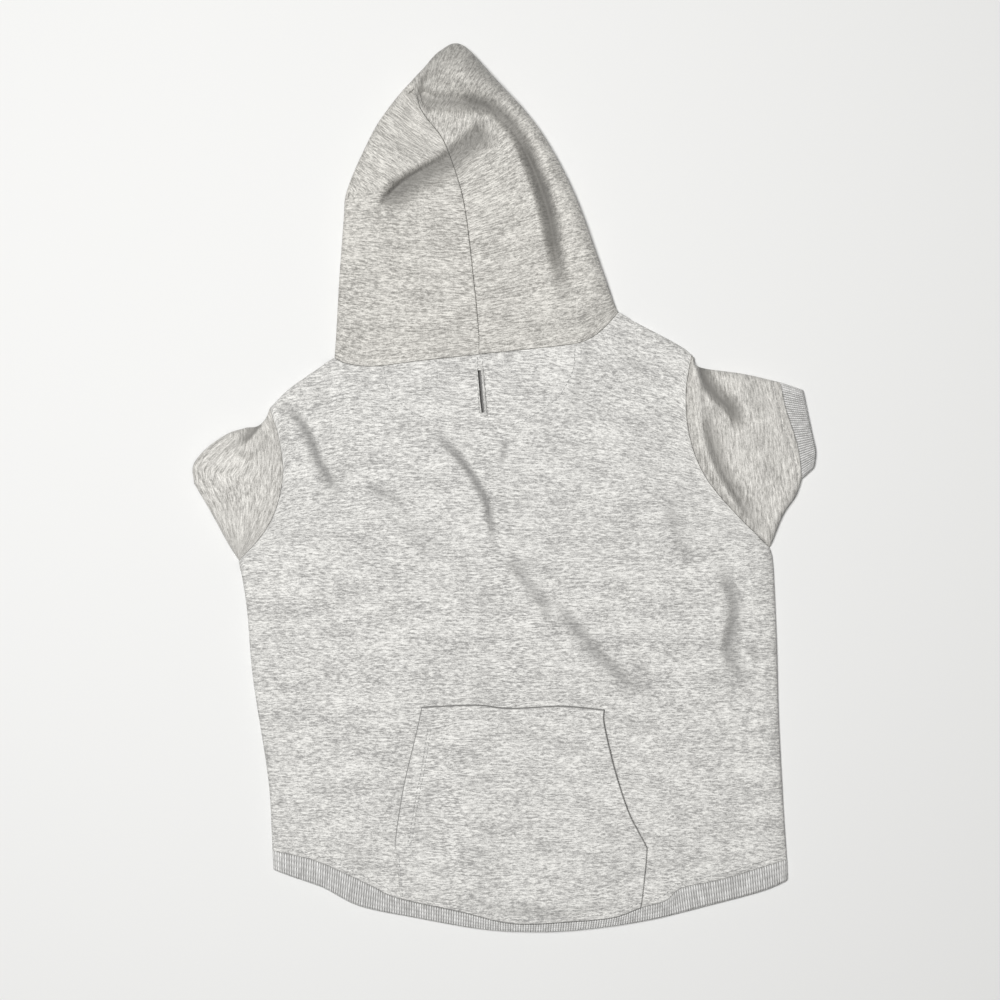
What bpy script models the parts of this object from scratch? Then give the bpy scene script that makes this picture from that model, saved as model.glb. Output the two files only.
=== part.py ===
"""Pet hoodie in heather fleece, laid flat with its back up.

Metres in the scene, millimetres in the tables. X to the right sleeve, Y to the tip of the hood,
Z up. The origin is under the middle of the garment, on the surface that it lies on.
"""

from collections import namedtuple

import bpy
import numpy as np

MM = 0.001
CLOTH = 1.8            # fleece wall
RIB_WALL = 2.0         # doubled rib wall
GAP = 0.3              # between two pieces at a seam
BODY_Z = 5.1           # outer face of the back panel, where it lies flat
POCKET_LIFT = 0.4      # between the back panel and the pocket on it
POCKET_PUFF = 1.2      # how far the pocket stands off in its middle
WALE = 1.5             # pitch of the rib
WALE_HEIGHT = 0.5      # how far a rib stands up
SLIT_WIDTH = 1.4
BELLY_INSET = 4.3      # the belly panel lies inside the rolled edges
HOOD_Z = 7.4           # outer face of the hood, between its rolls
SLEEVE_Z = 8.6         # right sleeve
SEAM_Z = 4.3           # where a sleeve meets the body
FOLDED_SLEEVE_Z = 9.4  # left sleeve, over its turned-under end
LOWEST_BODY_Z = 4.1    # a fold sinks no lower, over the belly panel
LOWEST_HOOD_Z = 4.2

# How a rolled edge turns down, from its underside to the flat: how far in each line of the
# grid lies, and its share of the height there. A cut edge only dips into its seam.
ROLL = [
    # rolled_in, rolled_share, cut_in, cut_share
    (1.75, 0.00, 0.0, 0.84),
    (0.00, 0.36, 0.9, 0.91),
    (0.60, 0.66, 1.9, 0.96),
    (2.20, 0.90, 3.2, 0.99),
    (5.00, 1.00, 5.0, 1.00),
]

# Outlines as seen from above, each point (x, y) in mm, left to right or bottom to top.
HEM_SEAM = [
    (-139.0, -217.2), (-115.4, -222.5), (-97.6, -229.7), (-79.8, -238.1), (-64.0, -245.6),
    (-25.5, -254.1), (6.0, -261.2), (40.4, -260.0), (66.0, -257.4), (82.1, -251.6),
    (97.1, -247.3), (107.4, -239.5), (132.8, -234.0), (170.2, -222.4),
]
HEM_EDGE = [
    (-138.4, -229.0), (-126.5, -233.4), (-108.7, -239.7), (-86.5, -250.8), (-53.2, -257.7),
    (-16.6, -264.2), (9.2, -266.0), (40.4, -265.4), (84.7, -259.6), (126.2, -249.6),
    (155.0, -241.8), (170.6, -235.4),
]
LEFT_SIDE = [
    (-139.0, -217.2), (-141.5, -174.8), (-150.6, -114.8), (-154.4, -72.2), (-159.0, -43.4),
]
LEFT_ARMHOLE = [
    (-159.0, -43.4), (-145.2, -28.1), (-136.6, -12.0), (-132.5, 9.5), (-135.2, 31.0),
    (-140.6, 48.4),
]
RIGHT_SIDE = [
    (170.2, -222.4), (168.0, -190.4), (165.2, -138.8), (163.9, -90.8), (162.0, -46.8),
    (159.8, -35.0),
]
RIGHT_ARMHOLE = [
    (159.8, -35.0), (140.4, -16.2), (121.4, 6.7), (111.5, 31.6), (109.5, 58.0), (113.0, 80.6),
]
LEFT_SHOULDER = [(-140.6, 48.4), (-129.2, 59.8), (-110.4, 73.1), (-101.8, 78.6)]
NECK_LEFT = [(-101.8, 78.6), (-94.4, 75.2), (-78.4, 73.4), (-51.5, 76.6), (-14.8, 80.6)]
NECK_RIGHT = [
    (-14.8, 80.6), (15.6, 83.8), (43.1, 87.1), (53.9, 91.4), (61.4, 97.6), (69.0, 106.0),
]
RIGHT_SHOULDER = [(69.0, 106.0), (78.3, 100.6), (104.4, 86.8), (113.0, 80.6)]
RIGHT_SLEEVE_TOP = [(113.0, 80.6), (117.5, 73.2), (144.4, 68.9), (165.8, 64.0)]
RIGHT_SLEEVE_UNDER = [(159.8, -35.0), (167.3, -16.2), (175.2, -4.3), (178.9, 6.0)]
RIGHT_CUFF_SEAM = [(178.9, 6.0), (176.2, 25.6), (169.2, 47.5), (165.8, 64.0)]
RIGHT_CUFF_EDGE = [(186.6, 12.4), (187.4, 22.6), (185.6, 31.6), (181.2, 51.5), (179.6, 62.6)]
LEFT_SLEEVE_UNDER = [(-159.0, -43.4), (-165.4, -33.4), (-176.0, -14.0), (-186.0, 3.0)]
LEFT_SLEEVE_FOLD = [(-186.0, 3.0), (-186.6, 14.0), (-178.7, 24.2), (-166.0, 33.0), (-154.6, 36.7)]
LEFT_SLEEVE_TOP = [(-140.6, 48.4), (-143.2, 42.0), (-148.0, 37.6), (-154.6, 36.7)]
POCKET_TOP = [(-49.2, -130.5), (-16.8, -129.2), (3.8, -131.2), (34.9, -130.0), (60.4, -132.4)]
POCKET_LEFT = [(-62.4, -245.6), (-64.6, -214.0), (-60.4, -179.0), (-52.4, -145.8), (-49.2, -130.5)]
POCKET_RIGHT = [(82.2, -251.2), (85.8, -215.5), (75.0, -194.0), (65.3, -163.1), (60.4, -132.4)]
SLIT = [(-14.6, 71.0), (-13.7, 60.8), (-12.9, 51.2), (-12.2, 45.8)]

HOOD_SEAM = [
    (-14.8, 80.6), (-15.0, 94.6), (-17.4, 120.4), (-22.7, 164.9), (-28.1, 187.8),
    (-36.5, 209.2), (-48.8, 225.8), (-52.0, 236.0),
]

# The hood's halves, a row for each section from the neck to the top: its place along the centre
# seam, its points on the rolled outline and on the edge of the face opening, and its height.
Section = namedtuple("Section", "along_seam edge face height")
HOOD_LEFT = [
    Section(0.00, (-101.8, 78.6), (-15.0, 80.6), 7.0),
    Section(0.09, (-100.4, 97.6), (-34.0, 99.0), 8.5),
    Section(0.25, (-98.6, 128.2), (-52.0, 127.0), 9.5),
    Section(0.49, (-95.4, 165.0), (-55.0, 164.0), 10.0),
    Section(0.67, (-86.6, 194.0), (-50.0, 190.0), 11.5),
    Section(0.81, (-76.3, 218.4), (-49.0, 212.0), 11.5),
    Section(0.93, (-67.0, 231.4), (-54.5, 226.0), 10.0),
    Section(1.00, (-60.8, 239.0), (-56.8, 237.4), 8.5),
]
HOOD_RIGHT = [
    Section(0.00, (69.0, 106.0), (-14.4, 80.6), 7.5),
    Section(0.09, (66.0, 112.0), (6.0, 98.0), 11.0),
    Section(0.25, (57.0, 137.0), (18.0, 128.0), 13.0),
    Section(0.49, (41.0, 180.0), (8.0, 168.0), 13.5),
    Section(0.67, (20.0, 217.5), (-8.0, 200.0), 14.0),
    Section(0.81, (-4.0, 244.4), (-24.0, 222.0), 15.0),
    Section(0.93, (-24.6, 266.0), (-40.0, 240.0), 16.0),
    Section(0.97, (-41.5, 259.0), (-46.5, 244.0), 15.0),
    Section(1.00, (-60.4, 239.8), (-56.0, 238.2), 9.0),
]

# The largest folds, a row each: the path that a fold follows, how far its middle rises or
# sinks, its half width on the left and on the right of the path, and the lips beside it there.
Fold = namedtuple("Fold", "path middle left_width right_width left_lip right_lip")
BODY_FOLDS = [
    Fold([(-42.4, 37.6), (-20.8, 10.8), (-11.2, -6.0), (-5.2, -37.4)], -0.8, 7, 7, 1.0, 1.2),
    Fold([(-1.6, -42.2), (15.2, -59.0), (27.5, -83.0)], -0.8, 8, 8, 1.0, 1.0),
    Fold([(29.9, -66.2), (54.0, -95.0), (70.0, -111.0), (85.4, -119.4)], -1.0, 9, 9, 1.2, 1.8),
    Fold([(-130.6, 50.8), (-118.6, 35.2), (-110.2, 15.6), (-96.7, -9.7)], -1.0, 9, 9, 1.0, 1.6),
    Fold([(127.4, -39.8), (138.2, -68.6), (134.6, -97.4), (150.2, -124.2)], -1.0, 9, 9, 2.0, 1.6),
    Fold([(99.8, -1.2), (107.0, -32.6), (114.2, -49.4)], -0.8, 10, 10, 0.8, 1.2),
    Fold([(51.6, 78.0), (46.8, 59.2), (42.0, 37.6)], -0.7, 11, 11, 0.6, 0.8),
    Fold([(-134.0, -205.0), (-146.0, -115.0), (-152.0, -52.0)], 1.3, 20, 16, 0, 0),
    Fold([(162.0, -205.0), (158.0, -115.0), (156.0, -52.0)], 1.4, 16, 20, 0, 0),
    Fold([(-8.0, -252.0), (28.0, -253.0), (62.0, -249.5)], 1.5, 14, 9, 0, 0),
    Fold([(-60.0, -60.0), (-20.0, -100.0), (60.0, -150.0)], 0.7, 50, 60, 0, 0),
]
HOOD_FOLDS = [
    Fold([(-49.0, 235.0), (-30.4, 231.4), (-1.3, 223.0), (15.6, 195.5), (29.4, 146.5),
          (43.1, 97.6)], -4.6, 9, 10, 1.8, 0),
    Fold([(-70.0, 174.4), (-58.0, 186.4), (-31.9, 200.2), (-7.6, 220.0)], -3.0, 7, 12, 3.0, 0),
    Fold([(60.0, 112.0), (46.0, 156.0), (26.0, 195.0), (-4.0, 236.0)], 3.6, 13, 13, 0, 0),
    Fold([(-4.0, 244.0), (-26.0, 250.0), (-44.0, 246.0)], 4.5, 17, 19, 0, 0),
    Fold([(-56.0, 222.0), (-64.0, 212.0)], -1.5, 9, 9, 0.5, 0.5),
    Fold([(-86.8, 181.6), (-88.0, 151.0)], -1.0, 8, 8, 0.8, 0),
    Fold([(-91.6, 100.0), (-79.6, 84.0)], -1.0, 9, 9, 0.6, 0.6),
    Fold([(-70.0, 120.0), (-66.0, 165.0)], 1.4, 30, 30, 0, 0),
    Fold([(10.0, 110.0), (-4.0, 175.0)], 1.2, 26, 20, 0, 0),
]
RIGHT_SLEEVE_FOLDS = [
    Fold([(117.5, 70.0), (121.4, 61.6), (133.0, 51.0), (138.2, 42.4), (127.4, 31.6)],
         -3.2, 7, 8, 0.8, 1.6),
    Fold([(121.4, 39.5), (127.4, 18.6), (140.4, -2.3), (152.3, -20.0)], -2.6, 8, 8, 1.2, 1.4),
    Fold([(160.0, 52.0), (164.0, 20.0)], 1.0, 12, 12, 0, 0),
]
LEFT_SLEEVE_FOLDS = [
    Fold([(-160.0, 31.0), (-155.0, 25.6), (-149.2, 31.0)], -1.3, 7, 7, 0.6, 0.6),
    Fold([(-172.0, 6.0), (-150.0, 12.0)], 1.2, 22, 22, 0, 0),
]

# The rib's top from one edge of the band to the other. Its two edges are plain.
HEM_TOP = [
    # share across, height, ribbed
    (0.00, 4.2, 0),
    (0.12, 5.5, 1),
    (0.90, 5.2, 1),
    (1.00, 4.6, 0),
]
CUFF_TOP = [
    (0.00, 6.2, 0),
    (0.10, 7.0, 1),
    (0.85, 6.0, 1),
    (1.00, 5.0, 0),
]

# The binding of the leash slit, round its section: how far from the slit, how far up.
BINDING = [(2.3, 0.35), (2.2, 1.0), (1.6, 1.35), (1.0, 1.2), (1.0, 0.35)]

# Under the left sleeve, its cuff lies by the armhole, and its other layers share one solid.
CUFF_REACH = (0.16, 0.70)        # across the sleeve, from the armpit to the shoulder
CUFF_FROM_ROOT = (5.0, 18.0)     # out from the armhole
CUFF_LEFT_Z = 4.4
CUFF_LEFT_WALL = 1.6
LAYERS_REACH = (0.075, 0.86)
LAYERS_FROM_ROOT = [
    # out, below, above
    (6.5, 4.9, 5.6),
    (8.5, 4.9, 6.4),
    (18.6, 4.9, 6.9),
    (18.8, 0.0, 6.9),
]
LAYERS_FROM_FOLD = [
    (5.9, 0.0, 6.9),
    (5.3, 0.0, 5.6),
]

# Base colours of the cloth, from the photo.
FLEECE = (0.62, 0.61, 0.58)
FLEECE_HOOD = (0.56, 0.55, 0.52)
RIB = (0.46, 0.47, 0.49)


class Line:
    """A smooth line through named points, read at shares of its length or of its rows."""

    def __init__(self, points, by_row=False, smooth=True):
        p = np.array(points, float)
        if smooth and len(p) > 2:
            ends = np.vstack([2 * p[0] - p[1], p, 2 * p[-1] - p[-2]])
            t = np.linspace(0, len(p) - 1, 24 * (len(p) - 1) + 1)
            i = np.minimum(t.astype(int), len(p) - 2)
            f = (t - i)[:, None]
            a, b, c, d = ends[i], ends[i + 1], ends[i + 2], ends[i + 3]
            p = 0.5 * (2 * b + (c - a) * f + (2 * a - 5 * b + 4 * c - d) * f**2
                       + (3 * b - a - 3 * c + d) * f**3)
        self.points = p
        step = np.linalg.norm(np.diff(p, axis=0)[:, :2], axis=1)
        self.length = step.sum()
        self.at = np.linspace(0, 1, len(p))
        if not by_row:
            self.at = np.concatenate([[0], np.cumsum(step)]) / self.length

    def __call__(self, t):
        t = np.asarray(t, float)
        return np.stack([np.interp(t, self.at, c) for c in self.points.T], axis=-1)


def joined(*lines):
    """Lines end to end, with the shares of the length at which they meet."""
    whole = Line(np.vstack([line.points for line in lines]), smooth=False)
    ends = np.cumsum([0] + [line.length for line in lines])
    return whole, ends / ends[-1]


def through(line, shares):
    """The straight-sided line through the points at these shares, read at the same shares."""
    kept = Line(line(shares), smooth=False)
    kept.at = np.asarray(shares, float)
    return kept


def spread(stops, counts):
    """Rising shares from one stop to the next, with so many steps between each two."""
    parts = [np.linspace(a, b, n, endpoint=False) for a, b, n in zip(stops, stops[1:], counts)]
    return np.concatenate(parts + [[stops[-1]]])


def coons(bottom, top, left, right, u, v):
    """The sheet between four lines, at shares u across and v up."""
    u3, v3 = u[..., None], v[..., None]
    corners = ((1 - u3) * (1 - v3) * bottom(0) + u3 * (1 - v3) * bottom(1)
               + (1 - u3) * v3 * top(0) + u3 * v3 * top(1))
    return ((1 - v3) * bottom(u) + v3 * top(u) + (1 - u3) * left(v) + u3 * right(v)) - corners


def bell(t):
    return np.clip(1 - t * t, 0, None) ** 2


def relief(xy, folds):
    """How far the folds raise or sink the cloth at each point."""
    total = np.zeros(xy.shape[:-1])
    for path, middle, left_width, right_width, left_lip, right_lip in folds:
        p = Line(path)(np.linspace(0, 1, 28))
        a, b = p[:-1], p[1:]
        run = b - a
        away = xy[..., None, :] - a
        t = np.clip((away * run).sum(-1) / (run**2).sum(-1), 0, 1)
        off = away - t[..., None] * run
        distance = np.sqrt((off**2).sum(-1))
        near = distance.argmin(-1)
        d = np.take_along_axis(distance, near[..., None], -1)[..., 0]
        t = np.take_along_axis(t, near[..., None], -1)[..., 0]
        turn = run[near][..., 0] * (xy[..., 1] - a[near][..., 1])
        turn = turn - run[near][..., 1] * (xy[..., 0] - a[near][..., 0])
        share = (near + t) / len(run)
        fade = np.sin(np.pi * np.clip(share, 0.08, 0.92)) ** 0.7
        width = np.where(turn > 0, left_width, right_width)
        lip = np.where(turn > 0, left_lip, right_lip)
        total += fade * (middle * bell(d / width) + lip * bell((d - 1.3 * width) / (0.9 * width)))
    return total


def edge_lines(rolled, scale=1.0, every=1):
    """For each line that meets an edge: how far in, in mm, its first points lie, and how high."""
    flag = np.asarray(rolled, float)[:, None]
    roll = np.array(ROLL[::every])
    scale = np.broadcast_to(scale, flag[:, 0].shape)[:, None]
    return (np.where(flag > 0, roll[:, 0] * scale, roll[:, 2]),
            np.where(flag > 0, roll[:, 1], roll[:, 3]))


def lines_between(shares, start, end, length, even=False):
    """For each line: the shares at which the others cross it, and its shares of the height.

    The shares are read from end to end or, where even is set, between the lines of its edges.
    """
    length = np.broadcast_to(length, start[0].shape[:1])[:, None]
    first, last = start[0] / length, 1 - end[0][:, ::-1] / length
    middle = np.tile(shares[1:-1], (len(first), 1))
    if even:
        middle = first[:, -1:] + middle * (last[:, :1] - first[:, -1:])
    height = np.concatenate([start[1], np.ones(middle.shape), end[1][:, ::-1]], 1)
    return np.concatenate([first, middle, last], 1), height


def flat_unit(v):
    v = np.array(v[..., :2])
    return v / np.maximum(np.linalg.norm(v, axis=-1, keepdims=True), 1e-9)


def lifted(xy, z):
    """Points in plan given their height."""
    z = np.broadcast_to(z, xy.shape[:-1])
    return np.concatenate([xy, z[..., None]], -1)


def normals(grid, closed=False):
    """Outward unit normals of a grid of rows, whose columns may close into a ring."""
    if closed:
        across = np.roll(grid, -1, 1) - np.roll(grid, 1, 1)
    else:
        across = np.gradient(grid, axis=1)
    along = np.gradient(grid, axis=0)
    n = np.cross(across, along)
    return n / np.maximum(np.linalg.norm(n, axis=-1, keepdims=True), 1e-9)


def in_plane(direction, across):
    """The direction without what points across a cut, at unit length."""
    flat = lifted(across, 0.0)
    left = direction - (direction * flat).sum(-1, keepdims=True) * flat
    return left / np.linalg.norm(left, axis=-1, keepdims=True)


def make(name, points, faces, colour, roughness=0.95):
    """One closed body from points in mm."""
    mesh = bpy.data.meshes.new(name)
    mesh.from_pydata([tuple(MM * c for c in p) for p in points], [], faces)
    mesh.update()
    obj = bpy.data.objects.new(name, mesh)
    bpy.context.scene.collection.objects.link(obj)
    material = bpy.data.materials.new(name)
    material.use_nodes = True
    shader = material.node_tree.nodes["Principled BSDF"]
    shader.inputs["Base Color"].default_value = (*colour, 1)
    shader.inputs["Roughness"].default_value = roughness
    shader.inputs["Metallic"].default_value = 0
    mesh.materials.append(material)
    mesh.shade_smooth()
    mesh.set_sharp_from_angle(angle=0.9)
    return obj


def grid_faces(rows, columns, start=0, closed=False, flip=False):
    faces = []
    for i in range(rows - 1):
        for j in range(columns if closed else columns - 1):
            k = (j + 1) % columns
            face = (start + i * columns + j, start + i * columns + k,
                    start + (i + 1) * columns + k, start + (i + 1) * columns + j)
            faces.append(face[::-1] if flip else face)
    return faces


def wall(name, outer, inner, colour):
    """One closed body between an outer and an inner grid of the same size."""
    rows, columns = outer.shape[:2]
    count = rows * columns
    faces = grid_faces(rows, columns) + grid_faces(rows, columns, count, flip=True)
    loop = list(range(columns))
    loop += [i * columns + columns - 1 for i in range(1, rows)]
    loop += [(rows - 1) * columns + j for j in range(columns - 2, -1, -1)]
    loop += [i * columns for i in range(rows - 2, 0, -1)]
    for a, b in zip(loop, loop[1:] + loop[:1]):
        faces.append((b, a, a + count, b + count))
    return make(name, np.vstack([outer.reshape(-1, 3), inner.reshape(-1, 3)]), faces, colour)


def zipped(first, at_first, second, at_second):
    """Triangles between two rings of points, each read at its rising shares round the ring."""
    faces = []
    i = j = 0
    n, m = len(first), len(second)
    while i < n or j < m:
        next_i = at_first[i + 1] if i + 1 < n else 1.0 + (i + 1 > n)
        next_j = at_second[j + 1] if j + 1 < m else 1.0 + (j + 1 > m)
        if i < n and (j >= m or next_i <= next_j):
            faces.append((first[i % n], first[(i + 1) % n], second[j % m]))
            i += 1
        else:
            faces.append((first[i % n], second[(j + 1) % m], second[j % m]))
            j += 1
    return faces


def tube(name, outer, at_outer, inner, at_inner, colour):
    """A tube between two grids whose columns run round it, open at its two ends."""
    rows, columns = outer.shape[:2]
    inner_rows, inner_columns = inner.shape[:2]
    start = rows * columns
    faces = grid_faces(rows, columns, closed=True)
    faces += grid_faces(inner_rows, inner_columns, start, closed=True, flip=True)
    root = zipped(range(columns), at_outer, range(start, start + inner_columns), at_inner)
    faces += [face[::-1] for face in root]
    end = start + (inner_rows - 1) * inner_columns
    faces += zipped(range((rows - 1) * columns, rows * columns), at_outer,
                    range(end, end + inner_columns), at_inner)
    return make(name, np.vstack([outer.reshape(-1, 3), inner.reshape(-1, 3)]), faces, colour)


def prism(name, outline, low, high, colour):
    """An outline, counter-clockwise, between two heights."""
    count = len(outline)
    sides = [(a, (a + 1) % count, (a + 1) % count + count, a + count) for a in range(count)]
    caps = [tuple(range(count))[::-1], tuple(range(count, 2 * count))]
    return make(name, np.vstack([lifted(outline, low), lifted(outline, high)]), caps + sides,
                colour)


def offset_line(points, distance):
    """Points of a line moved sideways, to the right of the way that it runs."""
    run = flat_unit(np.gradient(points, axis=0))
    return points + distance * np.stack([run[:, 1], -run[:, 0]], -1)


def square_to(line, at, towards):
    """Unit vectors in plan, square to a line at its shares and on the side of the given ones."""
    low, high = np.clip(at - 0.004, 0, 1), np.clip(at + 0.004, 0, 1)
    run = flat_unit(line(high) - line(low))
    out = np.stack([run[:, 1], -run[:, 0]], -1)
    return out * np.sign((out * towards).sum(-1, keepdims=True))


def inner_face(outer, base, thickness, rolled, edges):
    """The inner face of a sheet. Below a rolled edge it stands beside it, on the ground."""
    n = normals(base)
    inner = outer - thickness * n
    sides = [
        ("bottom", np.s_[0, :], np.s_[1, :], np.s_[2, :]),
        ("top", np.s_[-1, :], np.s_[-2, :], np.s_[-5, :]),
        ("left", np.s_[:, 0], np.s_[:, 1], np.s_[:, 4]),
        ("right", np.s_[:, -1], np.s_[:, -2], np.s_[:, -5]),
    ]
    flags = {side: np.broadcast_to(rolled.get(side, 0), outer[edge].shape[:1])
             for side, edge, first, deep in sides}
    for turned in (False, True):
        for side, edge, first, deep in sides:
            inward = flat_unit(base[deep] - base[first])
            if turned:
                place = outer[edge] + thickness * lifted(inward, 0.0)
            else:
                inward = square_to(*edges[side], inward)
                place = outer[edge] - thickness * in_plane(n[edge], inward)
            here = (flags[side] > 0) == turned
            inner[edge] = np.where(here[:, None], place, inner[edge])
    return inner


for leftover in list(bpy.data.objects):
    bpy.data.objects.remove(leftover, do_unlink=True)


# ---- The outlines that neighbours share, as straight-sided lines -------------------------------

TENTHS = np.linspace(0, 1, 11)
NINTHS = np.linspace(0, 1, 10)
SIDE_STEPS, ARMHOLE_STEPS, NECK_STEPS, SHOULDER_STEPS = 15, 10, 9, 4

left_up, left_stops = joined(Line(LEFT_SIDE), Line(LEFT_ARMHOLE))
right_up, right_stops = joined(Line(RIGHT_SIDE), Line(RIGHT_ARMHOLE))
top_across, top_stops = joined(Line(LEFT_SHOULDER), Line(NECK_LEFT), Line(NECK_RIGHT),
                               Line(RIGHT_SHOULDER))
ACROSS = spread(top_stops, [SHOULDER_STEPS, NECK_STEPS, NECK_STEPS, SHOULDER_STEPS])
left_shares = spread(left_stops, [SIDE_STEPS, ARMHOLE_STEPS])
right_shares = spread(right_stops, [SIDE_STEPS, ARMHOLE_STEPS])
UP = 0.5 * (left_shares + right_shares)
hem_seam = through(Line(HEM_SEAM), ACROSS)
top_seam = through(top_across, ACROSS)
left_line = through(left_up, left_shares)
right_line = through(right_up, right_shares)
left_line.at = right_line.at = UP
neck_left = through(Line(NECK_LEFT), NINTHS)
neck_right = through(Line(NECK_RIGHT), NINTHS)
left_armhole = through(Line(LEFT_ARMHOLE), TENTHS)
right_armhole = through(Line(RIGHT_ARMHOLE), TENTHS)


# ---- Body and what lies on it -------------------------------------------------------------------

def body_height(xy):
    return np.maximum(BODY_Z + relief(xy, BODY_FOLDS), LOWEST_BODY_Z)


def back_panel():
    """From the hem seam to the neck, rolled down at its sides and shoulders."""
    ends = np.ones(len(ROLL))
    below_armpit = UP[1:-1] < UP[SIDE_STEPS] - 1e-6
    side_rolled = np.concatenate([np.ones(len(ROLL[::2])), below_armpit, 0 * ends])
    on_shoulder = (ACROSS[1:-1] < top_stops[1] - 1e-6) | (ACROSS[1:-1] > top_stops[3] + 1e-6)
    top_rolled = np.concatenate([ends, on_shoulder, ends])
    length = left_line.length
    v, v_height = lines_between(UP, edge_lines(0 * top_rolled, every=2),
                                edge_lines(top_rolled), length)
    rows = v.mean(0)
    width = np.linalg.norm(left_line(rows) - right_line(rows), axis=-1)
    edge = edge_lines(side_rolled)
    u, u_height = lines_between(ACROSS, edge, edge, width)
    v, share = v.T, u_height * v_height.T
    xy = coons(hem_seam, top_seam, left_line, right_line, u, v)
    outer = lifted(xy, body_height(xy) * share)
    base = lifted(xy, BODY_Z * share)
    rolled = {"left": side_rolled, "right": side_rolled, "top": top_rolled}
    edges = {"bottom": (hem_seam, u[0]), "top": (top_seam, u[-1]),
             "left": (left_line, v[:, 0]), "right": (right_line, v[:, -1])}
    return wall("back_panel", outer, inner_face(outer, base, CLOTH, rolled, edges), FLEECE)


def cut_slit(panel):
    """The leash slit goes right through the panel."""
    line = Line(SLIT)(np.linspace(0, 1, 6))
    half = SLIT_WIDTH / 2
    outline = np.vstack([offset_line(line, half), offset_line(line, -half)[::-1]])
    cutter = prism("slit_cutter", outline, 2.0, 12.0, FLEECE)
    cutter.hide_render = True
    cutter.display_type = "WIRE"
    cut = panel.modifiers.new("slit", "BOOLEAN")
    cut.operation = "DIFFERENCE"
    cut.solver = "EXACT"
    cut.object = cutter


def slit_binding():
    """A narrow lip round the slit, wider on its right, made from the panel's points."""
    rings = []
    for reach, lift in BINDING:
        line = Line(SLIT)(TENTHS)
        line[0] += reach * flat_unit(line[0] - line[1])
        line[-1] += reach * flat_unit(line[-1] - line[-2])
        ring = np.vstack([offset_line(line, 0.9 * reach), offset_line(line, -1.25 * reach)[::-1]])
        rings.append(lifted(ring, body_height(ring) + lift))
    count = len(ring)
    last = (len(rings) - 1) * count
    faces = grid_faces(len(rings), count, closed=True)
    faces += [(last + j, last + (j + 1) % count, (j + 1) % count, j) for j in range(count)]
    return make("leash_slit_binding", np.vstack(rings), faces, FLEECE)


def belly_panel():
    """Flat below the back panel, with its edges counter-clockwise from the hem."""
    def inside(points, start, end, count):
        return offset_line(Line(points)(np.linspace(start, end, count)), -BELLY_INSET)

    clear = BELLY_INSET / 296.0
    outline = np.vstack([
        hem_seam(np.clip(ACROSS, clear, 1 - clear)),
        inside(RIGHT_SIDE, 0.015, 0.97, 9),
        right_armhole(np.clip(TENTHS, 0.04, 0.965)),
        inside(RIGHT_SHOULDER[::-1], 0.08, 0.92, 4),
        neck_right(np.clip(NINTHS[::-1], 0.0, 0.955)),
        neck_left(np.clip(NINTHS[-2::-1], 0.05, 1.0)),
        inside(LEFT_SHOULDER[::-1], 0.08, 0.92, 4),
        left_armhole(np.clip(TENTHS[::-1], 0.04, 0.935)),
        inside(LEFT_SIDE[::-1], 0.03, 0.985, 9),
    ])
    return prism("belly_panel", outline, 0.0, CLOTH, FLEECE)


def pocket():
    """On the back panel, made from its points moved out, and caught in the hem seam."""
    shares = np.linspace(0, 1, 15)
    foot_x = POCKET_LEFT[0][0] + shares * (POCKET_RIGHT[0][0] - POCKET_LEFT[0][0])
    foot = hem_seam(np.interp(foot_x, hem_seam.points[:, 0], hem_seam.at))
    foot = Line(foot, by_row=True, smooth=False)
    across, up = np.meshgrid(shares, shares)
    xy = coons(foot, Line(POCKET_TOP), Line(POCKET_LEFT), Line(POCKET_RIGHT), across, up)
    sewn = np.sin(np.pi * up) ** 0.5
    puff = POCKET_PUFF * sewn * (0.35 + 0.65 * np.sin(np.pi * across))
    under = body_height(xy) + POCKET_LIFT + puff
    return wall("pocket", lifted(xy, under + CLOTH), lifted(xy, under), FLEECE)


# ---- Hood ---------------------------------------------------------------------------------------

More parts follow.
